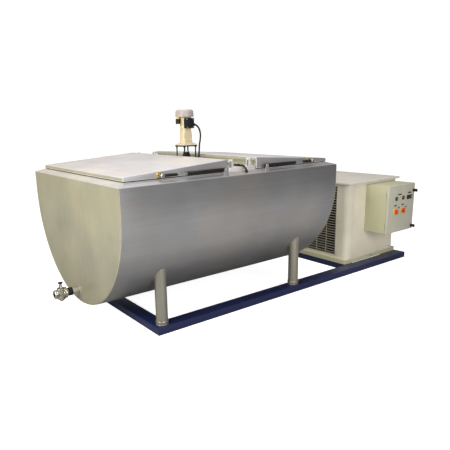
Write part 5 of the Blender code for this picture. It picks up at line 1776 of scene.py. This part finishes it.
@dataclass
class Drive:
    """Agitator motor with its stand, gearbox, cowl, terminal box and lead.

    Args:
        shop: The geometry trees.
        x: Its axis.
        stand_top: Height of the stand's plate.
        motor_top: Height of the cowl's top.
    """

    shop: Workshop
    x: float = 0.915
    stand_top: float = 1.124
    motor_top: float = 1.378

    def build(self) -> None:
        """Builds everything above the bridge."""
        self.stand()
        self.gearbox()
        self.motor()
        self.cowl()
        self.terminal()
        self.lead()
        self.seal()
        coat(BAR_STEEL, "agitator_shaft", "agitator_paddle")

    def stand(self) -> None:
        """A plate on four spacers, with nuts above and below."""
        span, foot = Span.of("motor_stand"), 1.0034
        under = self.stand_top - 0.0085
        parts = [block((span.low.x, span.low.y, under), span.high, 0.002, 3)]
        pitch, height = span.size.x / 2 - 0.0105, under - foot
        end = [(0, 0), (0.0078, 0), (0.0078, 0.006), (0.005, 0.0062)]
        profile = [*end, (0.005, height - 0.006), (0.0078, height - 0.0058), (0.0078, height), (0, height)]
        for sx in (-1, 1):
            for sy in (-1, 1):
                parts.append(lathe(profile, bench(self.x + sx * pitch, sy * pitch, foot), UP, 24))
        fit("drive_stand", gathered(*parts), BLACK_STEEL, replaces=["motor_stand"])

    def gearbox(self) -> None:
        """Flange, sloping skirt and case with a split line, side ribs and bolts."""
        flange, top = self.stand_top + 0.0002, 1.2050
        x = self.x
        parts = [block(bench(x - 0.058, -0.058, flange), bench(x + 0.058, 0.058, flange + 0.007), 0.0022, 3)]
        skirt = []
        for half, z in ((0.055, 0.0065), (0.050, 0.0090), (0.043, 0.0165), (0.0390, 0.0260)):
            outline = rounded((x - half, x + half), (-half, half), 0.008, 6)
            skirt.append([bench(a, b * (1 if z < 0.02 else 0.80), flange + z) for a, b in outline])
        parts.append(loft(skirt))
        case = rounded((x - 0.038, x + 0.038), (-0.030, 0.030), 0.007, 6)
        parts += [level(case, flange + 0.018, 1.1780, 0.0014), level(case, 1.1784, top, 0.0014)]
        parts.append(level(rounded((x - 0.0365, x + 0.0365), (-0.0285, 0.0285), 0.006, 6), 1.1770, 1.1794))
        ribs = [bench(x + a, s * 0.0302, 1.162) for a in (-0.022, 0.0, 0.022) for s in (-1, 1)]
        fins = self.shop.blocks.make(spots(ribs), MOTOR_CREAM, Size=(0.004, 0.0036, 0.026))
        fit("gear_case", gathered(*parts, fins), MOTOR_CREAM, replaces=["gearbox"])
        corners = [bench(x + sx * 0.050, sy * 0.050, flange + 0.0076) for sx in (-1, 1) for sy in (-1, 1)]
        self.shop.bolt("gear_flange_bolts", corners, UP, head=0.0046, height=0.0038)
        side = [bench(x + a, -0.0304, z) for a in (-0.030, 0.030) for z in (1.170, 1.190)]
        self.shop.bolt("gear_case_screws", side, NEAR, head=0.0026, height=0.0018)

    def motor(self) -> None:
        """Motor frame with upright cooling ribs, its end rings, and its capacitor with strap and cap."""
        x = self.x
        core = rounded((x - 0.0360, x + 0.0360), (-0.0275, 0.0275), 0.012, 6)
        ring = rounded((x - 0.0375, x + 0.0375), (-0.0290, 0.0290), 0.012, 6)
        parts = [level(core, 1.2060, 1.3255), level(ring, 1.2052, 1.2190, 0.0016), level(ring, 1.3100, 1.3260, 0.0016)]
        across = [bench(x + a, s * 0.0276, 1.2645) for a in [-0.024 + 0.006 * i for i in range(9)] for s in (-1, 1)]
        along = [bench(x + s * 0.0361, b, 1.2645) for b in [-0.0150 + 0.006 * i for i in range(6)] for s in (-1, 1)]
        ribs = [
            self.shop.blocks.make(spots(across), MOTOR_CREAM, Size=(0.0016, 0.0028, 0.0910)),
            self.shop.blocks.make(spots(along), MOTOR_CREAM, Size=(0.0028, 0.0016, 0.0910)),
        ]
        fit("motor_frame", gathered(*parts, *ribs), MOTOR_CREAM, replaces=["motor_housing"])
        can = [(0, 0), (0.0150, 0), (0.0165, 0.0015), (0.0165, 0.0345), (0.0150, 0.0360), (0, 0.0365)]
        foot = bench(x - 0.0545, 0.0150, 1.2780)
        fit("run_capacitor", lathe(can, foot, UP, 40), BLACK_PLASTIC)
        strap = [(0.0167, 0.010), (0.0174, 0.010), (0.0174, 0.018), (0.0167, 0.018)]
        fit("capacitor_strap", lathe(strap, foot, UP, 40), BLACK_STEEL)
        cap = [(0, 0), (0.0110, 0), (0.0118, 0.0010), (0.0118, 0.0090), (0.0104, 0.0112), (0, 0.0115)]
        fit("capacitor_cap", lathe(cap, bench(x - 0.0545, 0.0150, 1.3140), UP, 32), SWITCH_YELLOW)

    def cowl(self) -> None:
        """A pressed fan cowl with air slots in its top and a ring of screws."""
        x = self.x - 0.006
        profile = softened_profile(
            [
                (0, self.motor_top),
                (0.0535, self.motor_top),
                (0.0620, self.motor_top - 0.0065),
                (0.0650, self.motor_top - 0.0160),
                (0.0650, 1.3263),
                (0.0500, 1.3263),
                (0, 1.3263),
            ],
            0.006,
            5,
        )
        shell = lathe(profile, bench(x, 0, 0), UP, 80)
        slots = []
        for i in range(18):
            turn = Matrix.Rotation(math.radians(20 * i), 4, "Z")
            slot = block((0.020, -0.0022, 0.0), (0.046, 0.0022, 0.01), 0.0015, 2)
            slot.transform(Matrix.Translation(bench(x, 0, self.motor_top - 0.004)) @ turn)
            slots.append(slot)
        fit("cowl_pressing", carved(shell, gathered(*slots)), COWL_WHITE, replaces=["fan_cowl"])
        band = [(0.0650, 1.3275), (0.0655, 1.3280), (0.0655, 1.3335), (0.0650, 1.3340), (0.0640, 1.3305)]
        fit("cowl_rim", lathe(band, bench(x, 0, 0), UP, 80), COWL_WHITE)
        for i in range(4):
            angle = math.radians(45 + 90 * i)
            facing = Vector((math.cos(angle), math.sin(angle), 0))
            spot = bench(x, 0, 1.3400) + facing * 0.0652
            self.shop.bolt(f"cowl_screw_{i}", [spot], facing, head=0.0024, height=0.0014, sides=12)

    def terminal(self) -> None:
        """Terminal box with a lid, four screws and a gland for the lead."""
        span = Span.of("terminal_box")
        low, high = span.low, span.high
        body = block((low.x, low.y + 0.0075, low.z), high, 0.004, 4)
        cover = block((low.x, low.y + 0.0018, low.z), (high.x, low.y + 0.0068, high.z), 0.0022, 3)
        fit("terminal_case", gathered(body, cover), BLACK_PLASTIC, replaces=["terminal_box"])
        spots_at = [
            Vector((x, low.y + 0.0014, z))
            for x in (low.x + 0.008, high.x - 0.008)
            for z in (low.z + 0.008, high.z - 0.008)
        ]
        self.shop.bolt("terminal_screws", spots_at, NEAR, head=0.0022, height=0.0008, sides=12)
        gland = [(0.0058, -0.002), (0.0110, -0.002), (0.0110, 0.006), (0.0095, 0.007), (0.0095, 0.013), (0.0078, 0.016), (0.0058, 0.016)]
        fit("terminal_gland", lathe(gland, bench(0.9525, -0.046, 1.272), Vector((1, -0.08, -0.15)), 28), BLACK_PLASTIC)

    def lead(self) -> None:
        """The motor's lead, from the terminal box to the rim."""
        route = (
            (0.953, -0.046, 1.272),
            (0.975, -0.048, 1.268),
            (0.998, -0.052, 1.243),
            (1.008, -0.055, 1.205),
            (1.002, -0.060, 1.165),
            (0.991, -0.064, 1.127),
            (0.985, -0.067, 1.085),
            (0.975, -0.074, 1.040),
            (0.962, -0.090, 1.0155),
            (0.950, -0.125, 1.0085),
            (0.936, -0.200, 1.0085),
            (0.926, -0.320, 1.0085),
            (0.921, -0.450, 1.0085),
            (0.920, -0.560, 1.0085),
            (0.920, -0.606, 1.0090),
            (0.920, -0.632, 1.0070),
            (0.921, -0.650, 0.9950),
            (0.922, -0.662, 0.9800),
        )
        lift = 0.0018
        points = spline([bench(x, y, z + (lift if z < 1.03 else 0.0)) for x, y, z in route], 0.006)
        fit("drive_lead", pipe(points, 0.0062, 16), RUBBER, replaces=["motor_cable"])
        gland = [(0.0058, 0.0), (0.0115, 0.0), (0.0115, 0.005), (0.0098, 0.006), (0.0098, 0.011), (0.0078, 0.014), (0.0058, 0.014)]
        facing = Vector((-0.03, 0.35, 1.0)).normalized()
        fit("rim_gland", lathe(gland, bench(0.922, -0.6630, 0.9695), facing, 28), BLACK_PLASTIC)

    def seal(self) -> None:
        """A ribbed rubber boot round the shaft."""
        outer = [(0.0470, 1.0034), (0.0470, 1.0080)]
        for i in range(5):
            z, radius = 1.0090 + 0.0135 * i, 0.0450 - 0.0050 * i
            outer += [(radius - 0.004, z), (radius, z + 0.0045), (radius - 0.001, z + 0.0080)]
        outer += [(0.0190, 1.0760), (0.0185, 1.0830), (0.0156, 1.0830), (0.0156, 1.0034)]
        boot = lathe(softened_profile(outer, 0.0015, 2), bench(self.x, 0, 0), UP, 56)
        fit("shaft_boot", boot, RUBBER, replaces=["shaft_seal"])
        clamp = [(0.0190, 1.0772), (0.0200, 1.0772), (0.0200, 1.0822), (0.0190, 1.0822)]
        fit("boot_clamp", lathe(clamp, bench(self.x, 0, 0), UP, 40), BOLT_ZINC)


@dataclass
class CondensingUnit:
    """Cabinet, tray, top, grille, coil, fan and pipes.

    Args:
        shop: The geometry trees.
        x: The cabinet's faces.
        half: Half of its width.
        corner: Radius of its upright corners.
        base: Height of its lower edge.
        top: Height of its upper edge.
        sheet: Sheet thickness.
        grille_half: Half width of the grille.
        grille_z: Its lower and upper edge.
        columns: Slots across the grille.
        rows: Slots up the grille.
    """

    shop: Workshop
    x: Pair = (2.225, 2.934)
    half: float = 0.486
    corner: float = 0.055
    base: float = 0.0887
    top: float = 0.742
    sheet: float = 0.0015
    grille_half: float = 0.3664
    grille_z: Pair = (0.111, 0.7195)
    columns: int = 7
    rows: int = 27

    def build(self) -> None:
        """Builds the whole unit."""
        self.tray()
        self.cabinet()
        self.lid()
        self.grille()
        self.coil()
        self.pipes()
        coat(BLACK_STEEL, "fan_shroud")
        coat(BLACK_PLASTIC, "condenser_fan")
        coat(ENAMEL, "compressor")

    def tray(self) -> None:
        """A folded tray, open underneath, with a rolled upper edge and foot bolts."""
        span = Span.of("unit_tray")
        low, high = span.low, span.high
        inside = block(low + Vector((0.003, 0.003, -0.02)), high - Vector((0.003, 0.003, 0.003)))
        outer = block(low, high)
        softened(outer, [e for e in outer.edges if max(v.co.z for v in e.verts) > high.z - 1e-4], 0.004, 4)
        fit("tray_pan", carved(outer, inside), BOX_CREAM, replaces=["unit_tray"])
        ends = (low.x + 0.06, span.centre.x, high.x - 0.06)
        feet = [Vector((x, low.y - 0.0004, (low.z + high.z) / 2)) for x in ends]
        self.shop.bolt("tray_screws", feet, NEAR, head=0.0050, height=0.0030)
        step = block(
            (low.x + 0.002, low.y + 0.002, high.z - 0.0128), (high.x - 0.002, high.y - 0.002, high.z - 0.0112)
        )
        fit("tray_hem_line", step, BLACK_STEEL)

    def cabinet(self) -> None:
        """The sheet body with round corners, its window, louvres, seams and screws."""
        y = (-self.half, self.half)
        outline = rounded(self.x, y, self.corner, 12)
        inner_x = (self.x[0] + self.sheet, self.x[1] - self.sheet)
        inner_y = (y[0] + self.sheet, y[1] - self.sheet)
        inside = rounded(inner_x, inner_y, self.corner - self.sheet, 12)
        rings = [[bench(a, b, z) for a, b in outline] for z in (self.base, self.top)]
        rings += [[bench(a, b, z) for a, b in inside] for z in (self.top, self.base)]
        rings.append(rings[0])
        shell, gap = sealed(loft(rings, caps=False)), 0.0008
        low = bench(self.x[0] - 0.01, -self.grille_half - gap, self.grille_z[0] - gap)
        high = bench(self.x[0] + 0.01, self.grille_half + gap, self.grille_z[1] + gap)
        places = [(y0, 0.24 + 0.045 * i) for y0 in (-0.17, 0.17) for i in range(9)]
        end = self.x[1]
        slots = [block(bench(end - 0.01, a - 0.14, b), bench(end + 0.01, a + 0.14, b + 0.012)) for a, b in places]
        skin = carved(shell, block(low, high), gathered(*slots))
        fit("cabinet_skin", skin, CREAM, replaces=["cabinet"])
        fit("cabinet_louvres", gathered(*[self.hood(a, b) for a, b in places]), CREAM)
        self.seams()

    def hood(self, y: float, z: float) -> Shape:
        """One pressed louvre hood over a slot in the end wall."""
        steps, depth, half = 6, 0.0140, 0.142
        curve = [(depth * math.sin(i / steps * math.pi / 2), z + 0.020 - 0.018 * i / steps) for i in range(steps + 1)]
        bm = blank()
        left, right = [
            [bm.verts.new(bench(self.x[1] + a, y + side * half, h)) for a, h in (*curve, (0.0, curve[-1][1]))]
            for side in (-1, 1)
        ]
        for i in range(steps):
            bm.faces.new((left[i], right[i], right[i + 1], left[i + 1]))
        bm.faces.new(left)
        bm.faces.new(right)
        bmesh.ops.recalc_face_normals(bm, faces=bm.faces[:])
        return walled(bm, 0.0010)

    def seams(self) -> None:
        """Raised access panels on the long faces and the screws that hold them."""
        x, z = (self.x[0] + 0.070, self.x[1] - 0.070), (self.base + 0.012, self.top - 0.010)
        spots_at = [(a, b) for a in (x[0] + 0.012, x[1] - 0.012) for b in (z[0] + 0.012, sum(z) / 2, z[1] - 0.012)]
        faces = (("far", 1), ("near", -1))
        for name, sign in faces:
            depth = sorted((sign * (self.half + 0.0001), sign * (self.half + 0.0011)))
            fit(f"cabinet_{name}_panel", upright(rounded(x, z, 0.006, 5), *depth, 0.0004), CREAM)
        for name, sign in faces:
            screws = [bench(a, sign * (self.half + 0.0015), b) for a, b in spots_at]
            self.shop.bolt(f"cabinet_{name}_screws", screws, FAR * sign, head=0.0034, height=0.0020)

    def lid(self) -> None:
        """The overhanging top plate with a soft edge."""
        span = Span.of("cabinet_top")
        low, high = span.low, span.high
        outline = rounded((low.x, high.x), (low.y, high.y), 0.024, 10)
        shell = plate(outline, Axis.Z, low.z, high.z)
        softened(shell, [e for e in shell.edges if min(v.co.z for v in e.verts) > high.z - 1e-5], 0.005, 4)
        hollow = rounded((low.x + 0.0020, high.x - 0.0020), (low.y + 0.0020, high.y - 0.0020), 0.022, 10)
        under = plate(hollow, Axis.Z, low.z - 0.01, high.z - self.sheet)
        fit("unit_roof", carved(shell, under), TOP_CREAM, replaces=["cabinet_top"])
        corners = [
            Vector((a, b, high.z + 0.0002))
            for a in (low.x + 0.030, high.x - 0.030)
            for b in (low.y + 0.030, high.y - 0.030)
        ]
        self.shop.bolt("unit_roof_screws", corners, UP, CREAM, head=0.0036, height=0.0016, sides=12)

    def grille(self) -> None:
        """A punched front: upright strips and level bars behind a thin frame."""
        x, half, (z0, z1) = self.x[0] + 0.0017, self.grille_half, self.grille_z
        width, height = 2 * half, z1 - z0
        uprights = [bench(x, -half + width / self.columns * i, (z0 + z1) / 2) for i in range(1, self.columns)]
        bars = [bench(x, 0, z0 + height / self.rows * i) for i in range(1, self.rows)]
        parts = [
            self.shop.blocks.make(spots(uprights), GRILLE_CREAM, Size=(0.0028, 0.0058, height)),
            self.shop.blocks.make(spots(bars), GRILLE_CREAM, Size=(0.0026, width, 0.0050)),
        ]

        def border(near: float, far: float, inner: float, outer: float, rise: float, radius: float) -> list[Shape]:
            """Four flat strips round the grille, between two depths, from inside its edge to outside it."""
            sides = [(z0 - outer, z0 + inner), (z1 - inner, z1 + outer)]
            strips = [(-half - outer, low, half + outer, high) for low, high in sides]
            for sign in (-1, 1):
                y0, y1 = sorted((sign * (half - rise), sign * (half + outer)))
                strips.append((y0, z0 - outer, y1, z1 + outer))
            return [block(bench(near, a, b), bench(far, c, d), radius, 2) for a, b, c, d in strips]

        parts += border(x - 0.0016, x + 0.0016, 0.005, 0.0, 0.006, 0.0006)
        fit("grille_bars", gathered(*parts), GRILLE_CREAM, replaces=["condenser_grille"])
        trim = border(self.x[0] - 0.0016, self.x[0], 0.001, 0.006, 0.001, 0.0007)
        fit("grille_trim", gathered(*trim), CREAM)
        heights = (0.14, 0.415, 0.69)
        screws = [bench(self.x[0] - 0.0018, sign * (half + 0.014), z) for sign in (-1, 1) for z in heights]
        self.shop.bolt("grille_screws", screws, Vector((-1, 0, 0)), head=0.0030, height=0.0016, sides=12)

    def coil(self) -> None:
        """Fins and end plates on a bank of straight tubes."""
        span = Span.of("condenser_coil")
        low, high = span.low, span.high
        count = 200
        pitch = (high.y - low.y - 0.020) / (count - 1)
        fins = [Vector((span.centre.x, low.y + 0.010 + pitch * i, span.centre.z)) for i in range(count)]
        size = (high.x - low.x, 0.0006, high.z - low.z - 0.004)
        # The fins are near black as painted shade behind the grille.
        mesh = self.shop.blocks.make(spots(fins), SHADE_DARK_FINS, Size=size)
        ends = [
            block((low.x, y0, low.z), (high.x, y1, high.z), 0.0008, 1)
            for y0, y1 in ((low.y, low.y + 0.004), (high.y - 0.004, high.y))
        ]
        fit("coil_fins", gathered(mesh, *ends), SHADE_DARK_FINS, replaces=["condenser_coil"])
        tubes = []
        for i in range(12):
            z = low.z + 0.030 + i * (high.z - low.z - 0.060) / 11
            points = [Vector((span.centre.x, low.y + 0.002, z)), Vector((span.centre.x, high.y - 0.002, z))]
            tubes.append(pipe(points, 0.0048, 10))
        fit("coil_tubes", gathered(*tubes), COPPER)

    def pipes(self) -> None:
        """The lagged suction pipe and the bare liquid pipe."""
        suction = (
            (1.603, 0.200, 0.205),
            (1.700, 0.200, 0.205),
            (1.800, 0.200, 0.205),
            (1.860, 0.200, 0.205),
            (1.920, 0.230, 0.197),
            (2.020, 0.347, 0.162),
            (2.100, 0.391, 0.150),
            (2.160, 0.397, 0.150),
            (2.240, 0.397, 0.150),
            (2.400, 0.397, 0.150),
            (2.520, 0.377, 0.160),
            (2.600, 0.277, 0.195),
            (2.660, 0.117, 0.230),
            (2.690, 0.017, 0.240),
            (2.697, -0.015, 0.242),
        )
        liquid = (
            (1.603, 0.260, 0.228),
            (1.700, 0.260, 0.228),
            (1.800, 0.260, 0.228),
            (1.860, 0.260, 0.228),
            (1.930, 0.290, 0.225),
            (2.030, 0.362, 0.209),
            (2.100, 0.393, 0.205),
            (2.160, 0.397, 0.205),
            (2.230, 0.397, 0.205),
            (2.262, 0.393, 0.205),
            (2.276, 0.375, 0.205),
            (2.272, 0.3515, 0.205),
        )
        line = pipe(spline([bench(*p) for p in suction], 0.012), 0.009, 18)
        fit("suction_pipe", line, LAGGING, replaces=["suction_line"])
        line = pipe(spline([bench(*p) for p in liquid], 0.010), 0.005, 14)
        fit("liquid_pipe", line, COPPER, replaces=["liquid_line"])
        rings = []
        for x, facing, lines in (
            (1.7902, ALONG, ((0.200, 0.205, 0.009), (0.260, 0.228, 0.005))),
            (self.x[0] - 0.0002, -ALONG, ((0.397, 0.150, 0.009), (0.397, 0.205, 0.005))),
        ):
            for y, z, bore in lines:
                ring = [(0.0002, 0.0), (0.006, 0.0), (0.005, 0.002), (0.002, 0.005), (0.0002, 0.005)]
                rings.append(lathe([(bore + a, b) for a, b in ring], bench(x, y, z), facing, 28))
        fit("pipe_grommets", gathered(*rings), RUBBER)


@dataclass
class ControlBox:
    """The switch box on the unit's near side, with its hinged front.

    Args:
        shop: The geometry trees.
        sheet: Sheet thickness.
        door_body: The body that the door's pieces ride on.
    """

    shop: Workshop
    sheet: float = 0.0015
    door_body: str = "control_door"

    @property
    def front(self) -> float:
        """Where the door's face stands."""
        return Span.of("control_door").low.y + 0.005

    def build(self) -> None:
        """Builds the shell, door, fittings and labels."""
        self.shell()
        self.door()
        self.fittings()
        self.labels()
        coat(GEAR_GREY, "control_gear")

    def shell(self) -> None:
        """A folded box, open at the front, with glands underneath."""
        span = Span.of("control_box")
        low, high = span.low, span.high
        body = block(low, high)
        softened(body, [e for e in body.edges if max(v.co.y for v in e.verts) > low.y + 1e-4], 0.004, 4)
        sheet = self.sheet
        inside = block(
            (low.x + sheet, low.y - 0.01, low.z + sheet), (high.x - sheet, high.y - sheet, high.z - sheet)
        )
        fit("box_shell", carved(body, inside), BOX_CREAM, replaces=["control_box"])
        glands = []
        for x in (low.x + 0.09, low.x + 0.15, low.x + 0.21):
            profile = [(0, 0), (0.0110, 0), (0.0110, 0.006), (0.0092, 0.007), (0.0092, 0.014), (0.0070, 0.018), (0, 0.018)]
            glands.append(lathe(profile, Vector((x, (low.y + high.y) / 2, low.z)), Vector((0, 0, -1)), 24))
        fit("box_glands", gathered(*glands), BLACK_PLASTIC)
        barrels = []
        axis_y = Span.of("control_door").high.y + 0.001
        for z in (low.z + 0.07, high.z - 0.07):
            profile = [(0, -0.022), (0.0034, -0.022), (0.0040, -0.0214), (0.0040, 0.0214), (0.0034, 0.022), (0, 0.022)]
            barrels.append(lathe(profile, Vector((low.x, axis_y, z)), UP, 20))
        fit("box_hinges", gathered(*barrels), BOLT_ZINC)

    def door(self) -> None:
        """The door with a folded edge, and its gasket."""
        span = Span.of("control_door")
        low, high = span.low, span.high
        front, back, sheet = self.front, high.y, self.sheet
        pan = block((low.x, front, low.z), (high.x, back, high.z))
        softened(pan, [e for e in pan.edges if min(v.co.y for v in e.verts) < front + 1e-4], 0.0045, 4)
        inside = block(
            (low.x + sheet, front + sheet, low.z + sheet), (high.x - sheet, back + 0.01, high.z - sheet)
        )
        fit("door_panel", carved(pan, inside), DOOR_CREAM, self.door_body, ["control_door"])
        gasket_low = Vector((low.x + 0.004, back - 0.0006, low.z + 0.004))
        gasket_high = Vector((high.x - 0.004, back - 0.00005, high.z - 0.004))
        ring = carved(
            block(gasket_low, gasket_high),
            block(gasket_low + Vector((0.006, -0.01, 0.006)), gasket_high + Vector((-0.006, 0.01, -0.006))),
        )
        fit("door_gasket", ring, RUBBER, self.door_body)

    def fittings(self) -> None:
        """Switches on yellow plates, two buttons, the display and the wing locks."""
        plates, bezels = [], []
        for name in ("left_switch", "right_switch"):
            centre, half = Span.of(name).centre, 0.0238
            outline = rounded((centre.x - half, centre.x + half), (centre.z - half, centre.z + half), 0.004, 5)
            plates.append(plate(outline, Axis.Y, self.front - 0.0049, self.front + 0.0002, 0.0012, 3))
            face = self.front - 0.0052
            disc = softened_profile([(0, 0), (0.0190, 0), (0.0190, -0.0060), (0, -0.0062)], 0.0012, 3)
            knob = lathe(disc, (centre.x, face, centre.z), FAR, 48)
            grip = block(
                (centre.x - 0.0062, face - 0.0208, centre.z - 0.0198),
                (centre.x + 0.0062, face - 0.0040, centre.z + 0.0198),
                0.0028,
                4,
            )
            fit(f"{name}_lever", gathered(knob, grip), RED_HANDLE, name, [name])
            line = block(
                (centre.x - 0.0012, face - 0.0213, centre.z + 0.004),
                (centre.x + 0.0012, face - 0.0205, centre.z + 0.0170),
                0.0003,
                1,
            )
            fit(f"{name}_pointer", line, COWL_WHITE, name)
        fit("switch_plates", gathered(*plates), SWITCH_YELLOW, self.door_body)
        for name, finish in (("start_button", GREEN_CAP), ("stop_button", RED_CAP)):
            span = Span.of(name)
            centre, radius, depth = span.centre, span.size.x / 2, span.size.y
            ring = softened_profile(
                [(0.0120, 0.0002), (0.0178, 0.0002), (0.0178, -0.0034), (0.0160, -0.0050), (0.0120, -0.0050)], 0.0008, 2
            )
            bezels.append(lathe(ring, (centre.x, self.front, centre.z), FAR, 48))
            cap = [
                (0, 0.0),
                (radius - 0.0032, 0.0),
                (radius - 0.0012, 0.0006),
                (radius, 0.0022),
                (radius, depth),
                (0, depth),
            ]
            shape = lathe(cap, (centre.x, span.low.y, centre.z), FAR, 48)
            fit(f"{name}_cap", shape, finish, name, [name])
        fit("button_bezels", gathered(*bezels), BLACK_PLASTIC, self.door_body)
        self.display()
        for name in ("upper_door_lock", "lower_door_lock"):
            self.lock(name)

    def display(self) -> None:
        """A framed controller with a dark window and three keys."""
        x, z, front = DATUM.x + 2.770, 0.609, self.front
        outline = rounded((x - 0.039, x + 0.039), (z - 0.0175, z + 0.0175), 0.003, 4)
        frame_plate = plate(outline, Axis.Y, front - 0.0046, front + 0.0002, 0.001, 2)
        fit("display_frame", frame_plate, BLACK_PLASTIC, self.door_body)
        window = rounded((x - 0.032, x + 0.012), (z - 0.0110, z + 0.0110), 0.0015, 3)
        pane = plate(window, Axis.Y, front - 0.0050, front - 0.0044, 0.0002, 1)
        fit("display_window", pane, SCREEN, self.door_body)
        keys = [
            block((x + 0.017, front - 0.0050, key - 0.0030), (x + 0.031, front - 0.0044, key + 0.0030), 0.0002, 1)
            for key in (z - 0.0085, z, z + 0.0085)
        ]
        fit("display_keys", gathered(*keys), GEAR_GREY, self.door_body)

    def lock(self, name: str) -> None:
        """A black quarter-turn wing knob."""
        span = Span.of(name)
        x, z, front = DATUM.x + 2.826, span.centre.z, span.low.y
        length = self.front - 0.0002 - front
        profile = softened_profile(
            [
                (0, 0.010),
                (0.0105, 0.010),
                (0.0125, 0.0125),
                (0.0135, length - 0.006),
                (0.0135, length),
                (0, length),
            ],
            0.0012,
            3,
        )
        stem = [(0, length - 0.001), (0.0045, length - 0.001), (0.0045, length + 0.012), (0, length + 0.012)]
        back = self.front + 0.007
        parts = [
            lathe(profile, (x, front, z), FAR, 40),
            block((x - 0.0042, front, z - 0.0130), (x + 0.0042, front + 0.014, z + 0.0130), 0.0024, 4),
            block((x - 0.005, back, z - 0.006), (x + 0.016, back + 0.004, z + 0.006), 0.001, 2),
            lathe(stem, (x, front, z), FAR, 20),
        ]
        fit(f"{name}_knob", gathered(*parts), BLACK_PLASTIC, name, [name])

    def labels(self) -> None:
        """Blank engraved strips over and under the fittings."""
        strips = []
        sizes = (
            (2.621, 0.645, 0.026),
            (2.768, 0.647, 0.024),
            (2.566, 0.554, 0.017),
            (2.672, 0.553, 0.017),
            (2.618, 0.531, 0.010),
            (2.724, 0.528, 0.010),
        )
        for x, z, half in sizes:
            left, right = DATUM.x + x - half, DATUM.x + x + half
            low, high = (left, self.front - 0.0010, z - 0.0056), (right, self.front + 0.0001, z + 0.0056)
            strips.append(block(low, high, 0.0004, 1))
        fit("door_labels", gathered(*strips), LABEL, self.door_body)


# ---------------------------------------------------------------- studio


@dataclass
class Studio:
    """Floor, lights and camera.

    Args:
        place: The camera's bench place.
        heading: Degrees clockwise from the far side towards the unit.
        pitch: Degrees above the horizon.
        roll: Degrees about the line of sight.
        lens: Focal length in millimetres, for a 36 mm sensor.
        shift: Lens shift, across and up.
        sky_light: Strength of the surround's light on the object.
        floor_glow: How much the floor is brightened to the eye.
        floor_bounce: How pale the floor is to the light it throws back.
    """

    place: Point = (-1.1354, -2.9798, 1.297)
    heading: float = 36.0
    pitch: float = -13.67
    roll: float = -1.48
    lens: float = 38.37
    shift: Pair = (0.0533, 0.0276)
    sky_light: float = 0.28
    floor_glow: float = 0.86
    floor_bounce: float = 0.42

    def build(self) -> None:
        """Sets the scene round the finished object."""
        bpy.context.scene.view_settings.view_transform = "Standard"
        self.floor()
        self.sky()
        self.lights()
        self.camera()

    def floor(self) -> None:
        """A plain pale floor."""
        bm = bmesh.new()
        bmesh.ops.create_grid(bm, x_segments=1, y_segments=1, size=40)
        floor = as_object(bm, "studio_floor")
        surface = Surface("studio_paint")
        seen = surface.add("ShaderNodeLightPath").outputs["Is Camera Ray"]
        tone = surface.ramp(surface.noise(0.6, 2.0), ((0.3, (0.86, 0.86, 0.86)), (0.7, (0.89, 0.89, 0.89))))
        tone = surface.mix(seen, (self.floor_bounce, self.floor_bounce, self.floor_bounce, 1.0), tone)
        glow = surface.scale_range(seen, 0.0, self.floor_glow)
        floor.data.materials.append(
            surface.finish(Base_Color=tone, Roughness=0.9, Emission_Color=(1, 1, 1, 1), Emission_Strength=glow)
        )

    def sky(self) -> None:
        """An even pale surround."""
        world = bpy.context.scene.world or bpy.data.worlds.new("studio")
        bpy.context.scene.world = world
        world.use_nodes = True
        graph = Graph(world.node_tree)
        shade = world.node_tree.nodes["Background"]
        seen = graph.add("ShaderNodeLightPath").outputs["Is Camera Ray"]
        strength = graph.add("ShaderNodeMapRange", {0: seen, 3: self.sky_light, 4: 1.0})
        world.node_tree.links.new(strength.outputs[0], shade.inputs["Strength"])
        shade.inputs["Color"].default_value = (1.0, 1.0, 1.0, 1.0)

    def lights(self) -> None:
        """A warm key from the left, a weak fill from the front and a soft top light."""
        self.lamp("key", (-3.2, -0.9, 2.3), (0.4, 0.0, 0.5), 2.2, 165.0, (1.0, 0.96, 0.86))
        self.lamp("fill", (0.4, -4.7, 1.7), (1.8, 0.0, 0.4), 2.2, 96.0, (1.0, 0.98, 0.99))
        self.lamp("top", (1.0, 0.4, 4.6), (1.0, 0.0, 0.5), 3.0, 110.0, (1.0, 0.98, 0.98))

    def lamp(self, name: str, place: Point, aim: Point, size: float, power: float, colour: Colour) -> None:
        """A square soft light."""
        data = bpy.data.lights.new(name, "AREA")
        data.size, data.energy, data.color = size, power, colour
        lamp = bpy.data.objects.new(name, data)
        lamp.location = bench(*place)
        lamp.rotation_mode = "QUATERNION"
        lamp.rotation_quaternion = (bench(*aim) - lamp.location).to_track_quat("-Z", "Y")
        bpy.context.scene.collection.objects.link(lamp)

    def camera(self) -> None:
        """The camera, a little above the tank and to its left."""
        data = bpy.data.cameras.new("camera")
        data.sensor_width, data.lens = 36.0, self.lens
        data.shift_x, data.shift_y = self.shift
        data.clip_end = 60.0
        camera = bpy.data.objects.new("camera", data)
        turn = (
            Matrix.Rotation(math.radians(-self.heading), 4, "Z")
            @ Matrix.Rotation(math.radians(90 + self.pitch), 4, "X")
            @ Matrix.Rotation(math.radians(self.roll), 4, "Z")
        )
        camera.matrix_world = Matrix.Translation(bench(*self.place)) @ turn
        bpy.context.scene.collection.objects.link(camera)
        bpy.context.scene.camera = camera


def main() -> None:
    """Builds the tank, then the studio."""
    logging.basicConfig(level=logging.INFO, format="%(message)s", stream=sys.stdout)
    shop = Workshop()
    TankShell(shop).build()
    Bridge(shop).build()
    Lid(shop, Side.LEFT, outer=0.060, inner=0.800, hinge_x=0.845).build()
    Lid(shop, Side.RIGHT, outer=1.740, inner=1.040, hinge_x=0.995).build()
    BaseFrame(shop).build()
    Outlet(shop).build()
    Drive(shop).build()
    CondensingUnit(shop).build()
    ControlBox(shop).build()
    Studio().build()


if __name__ == "__main__":
    main()
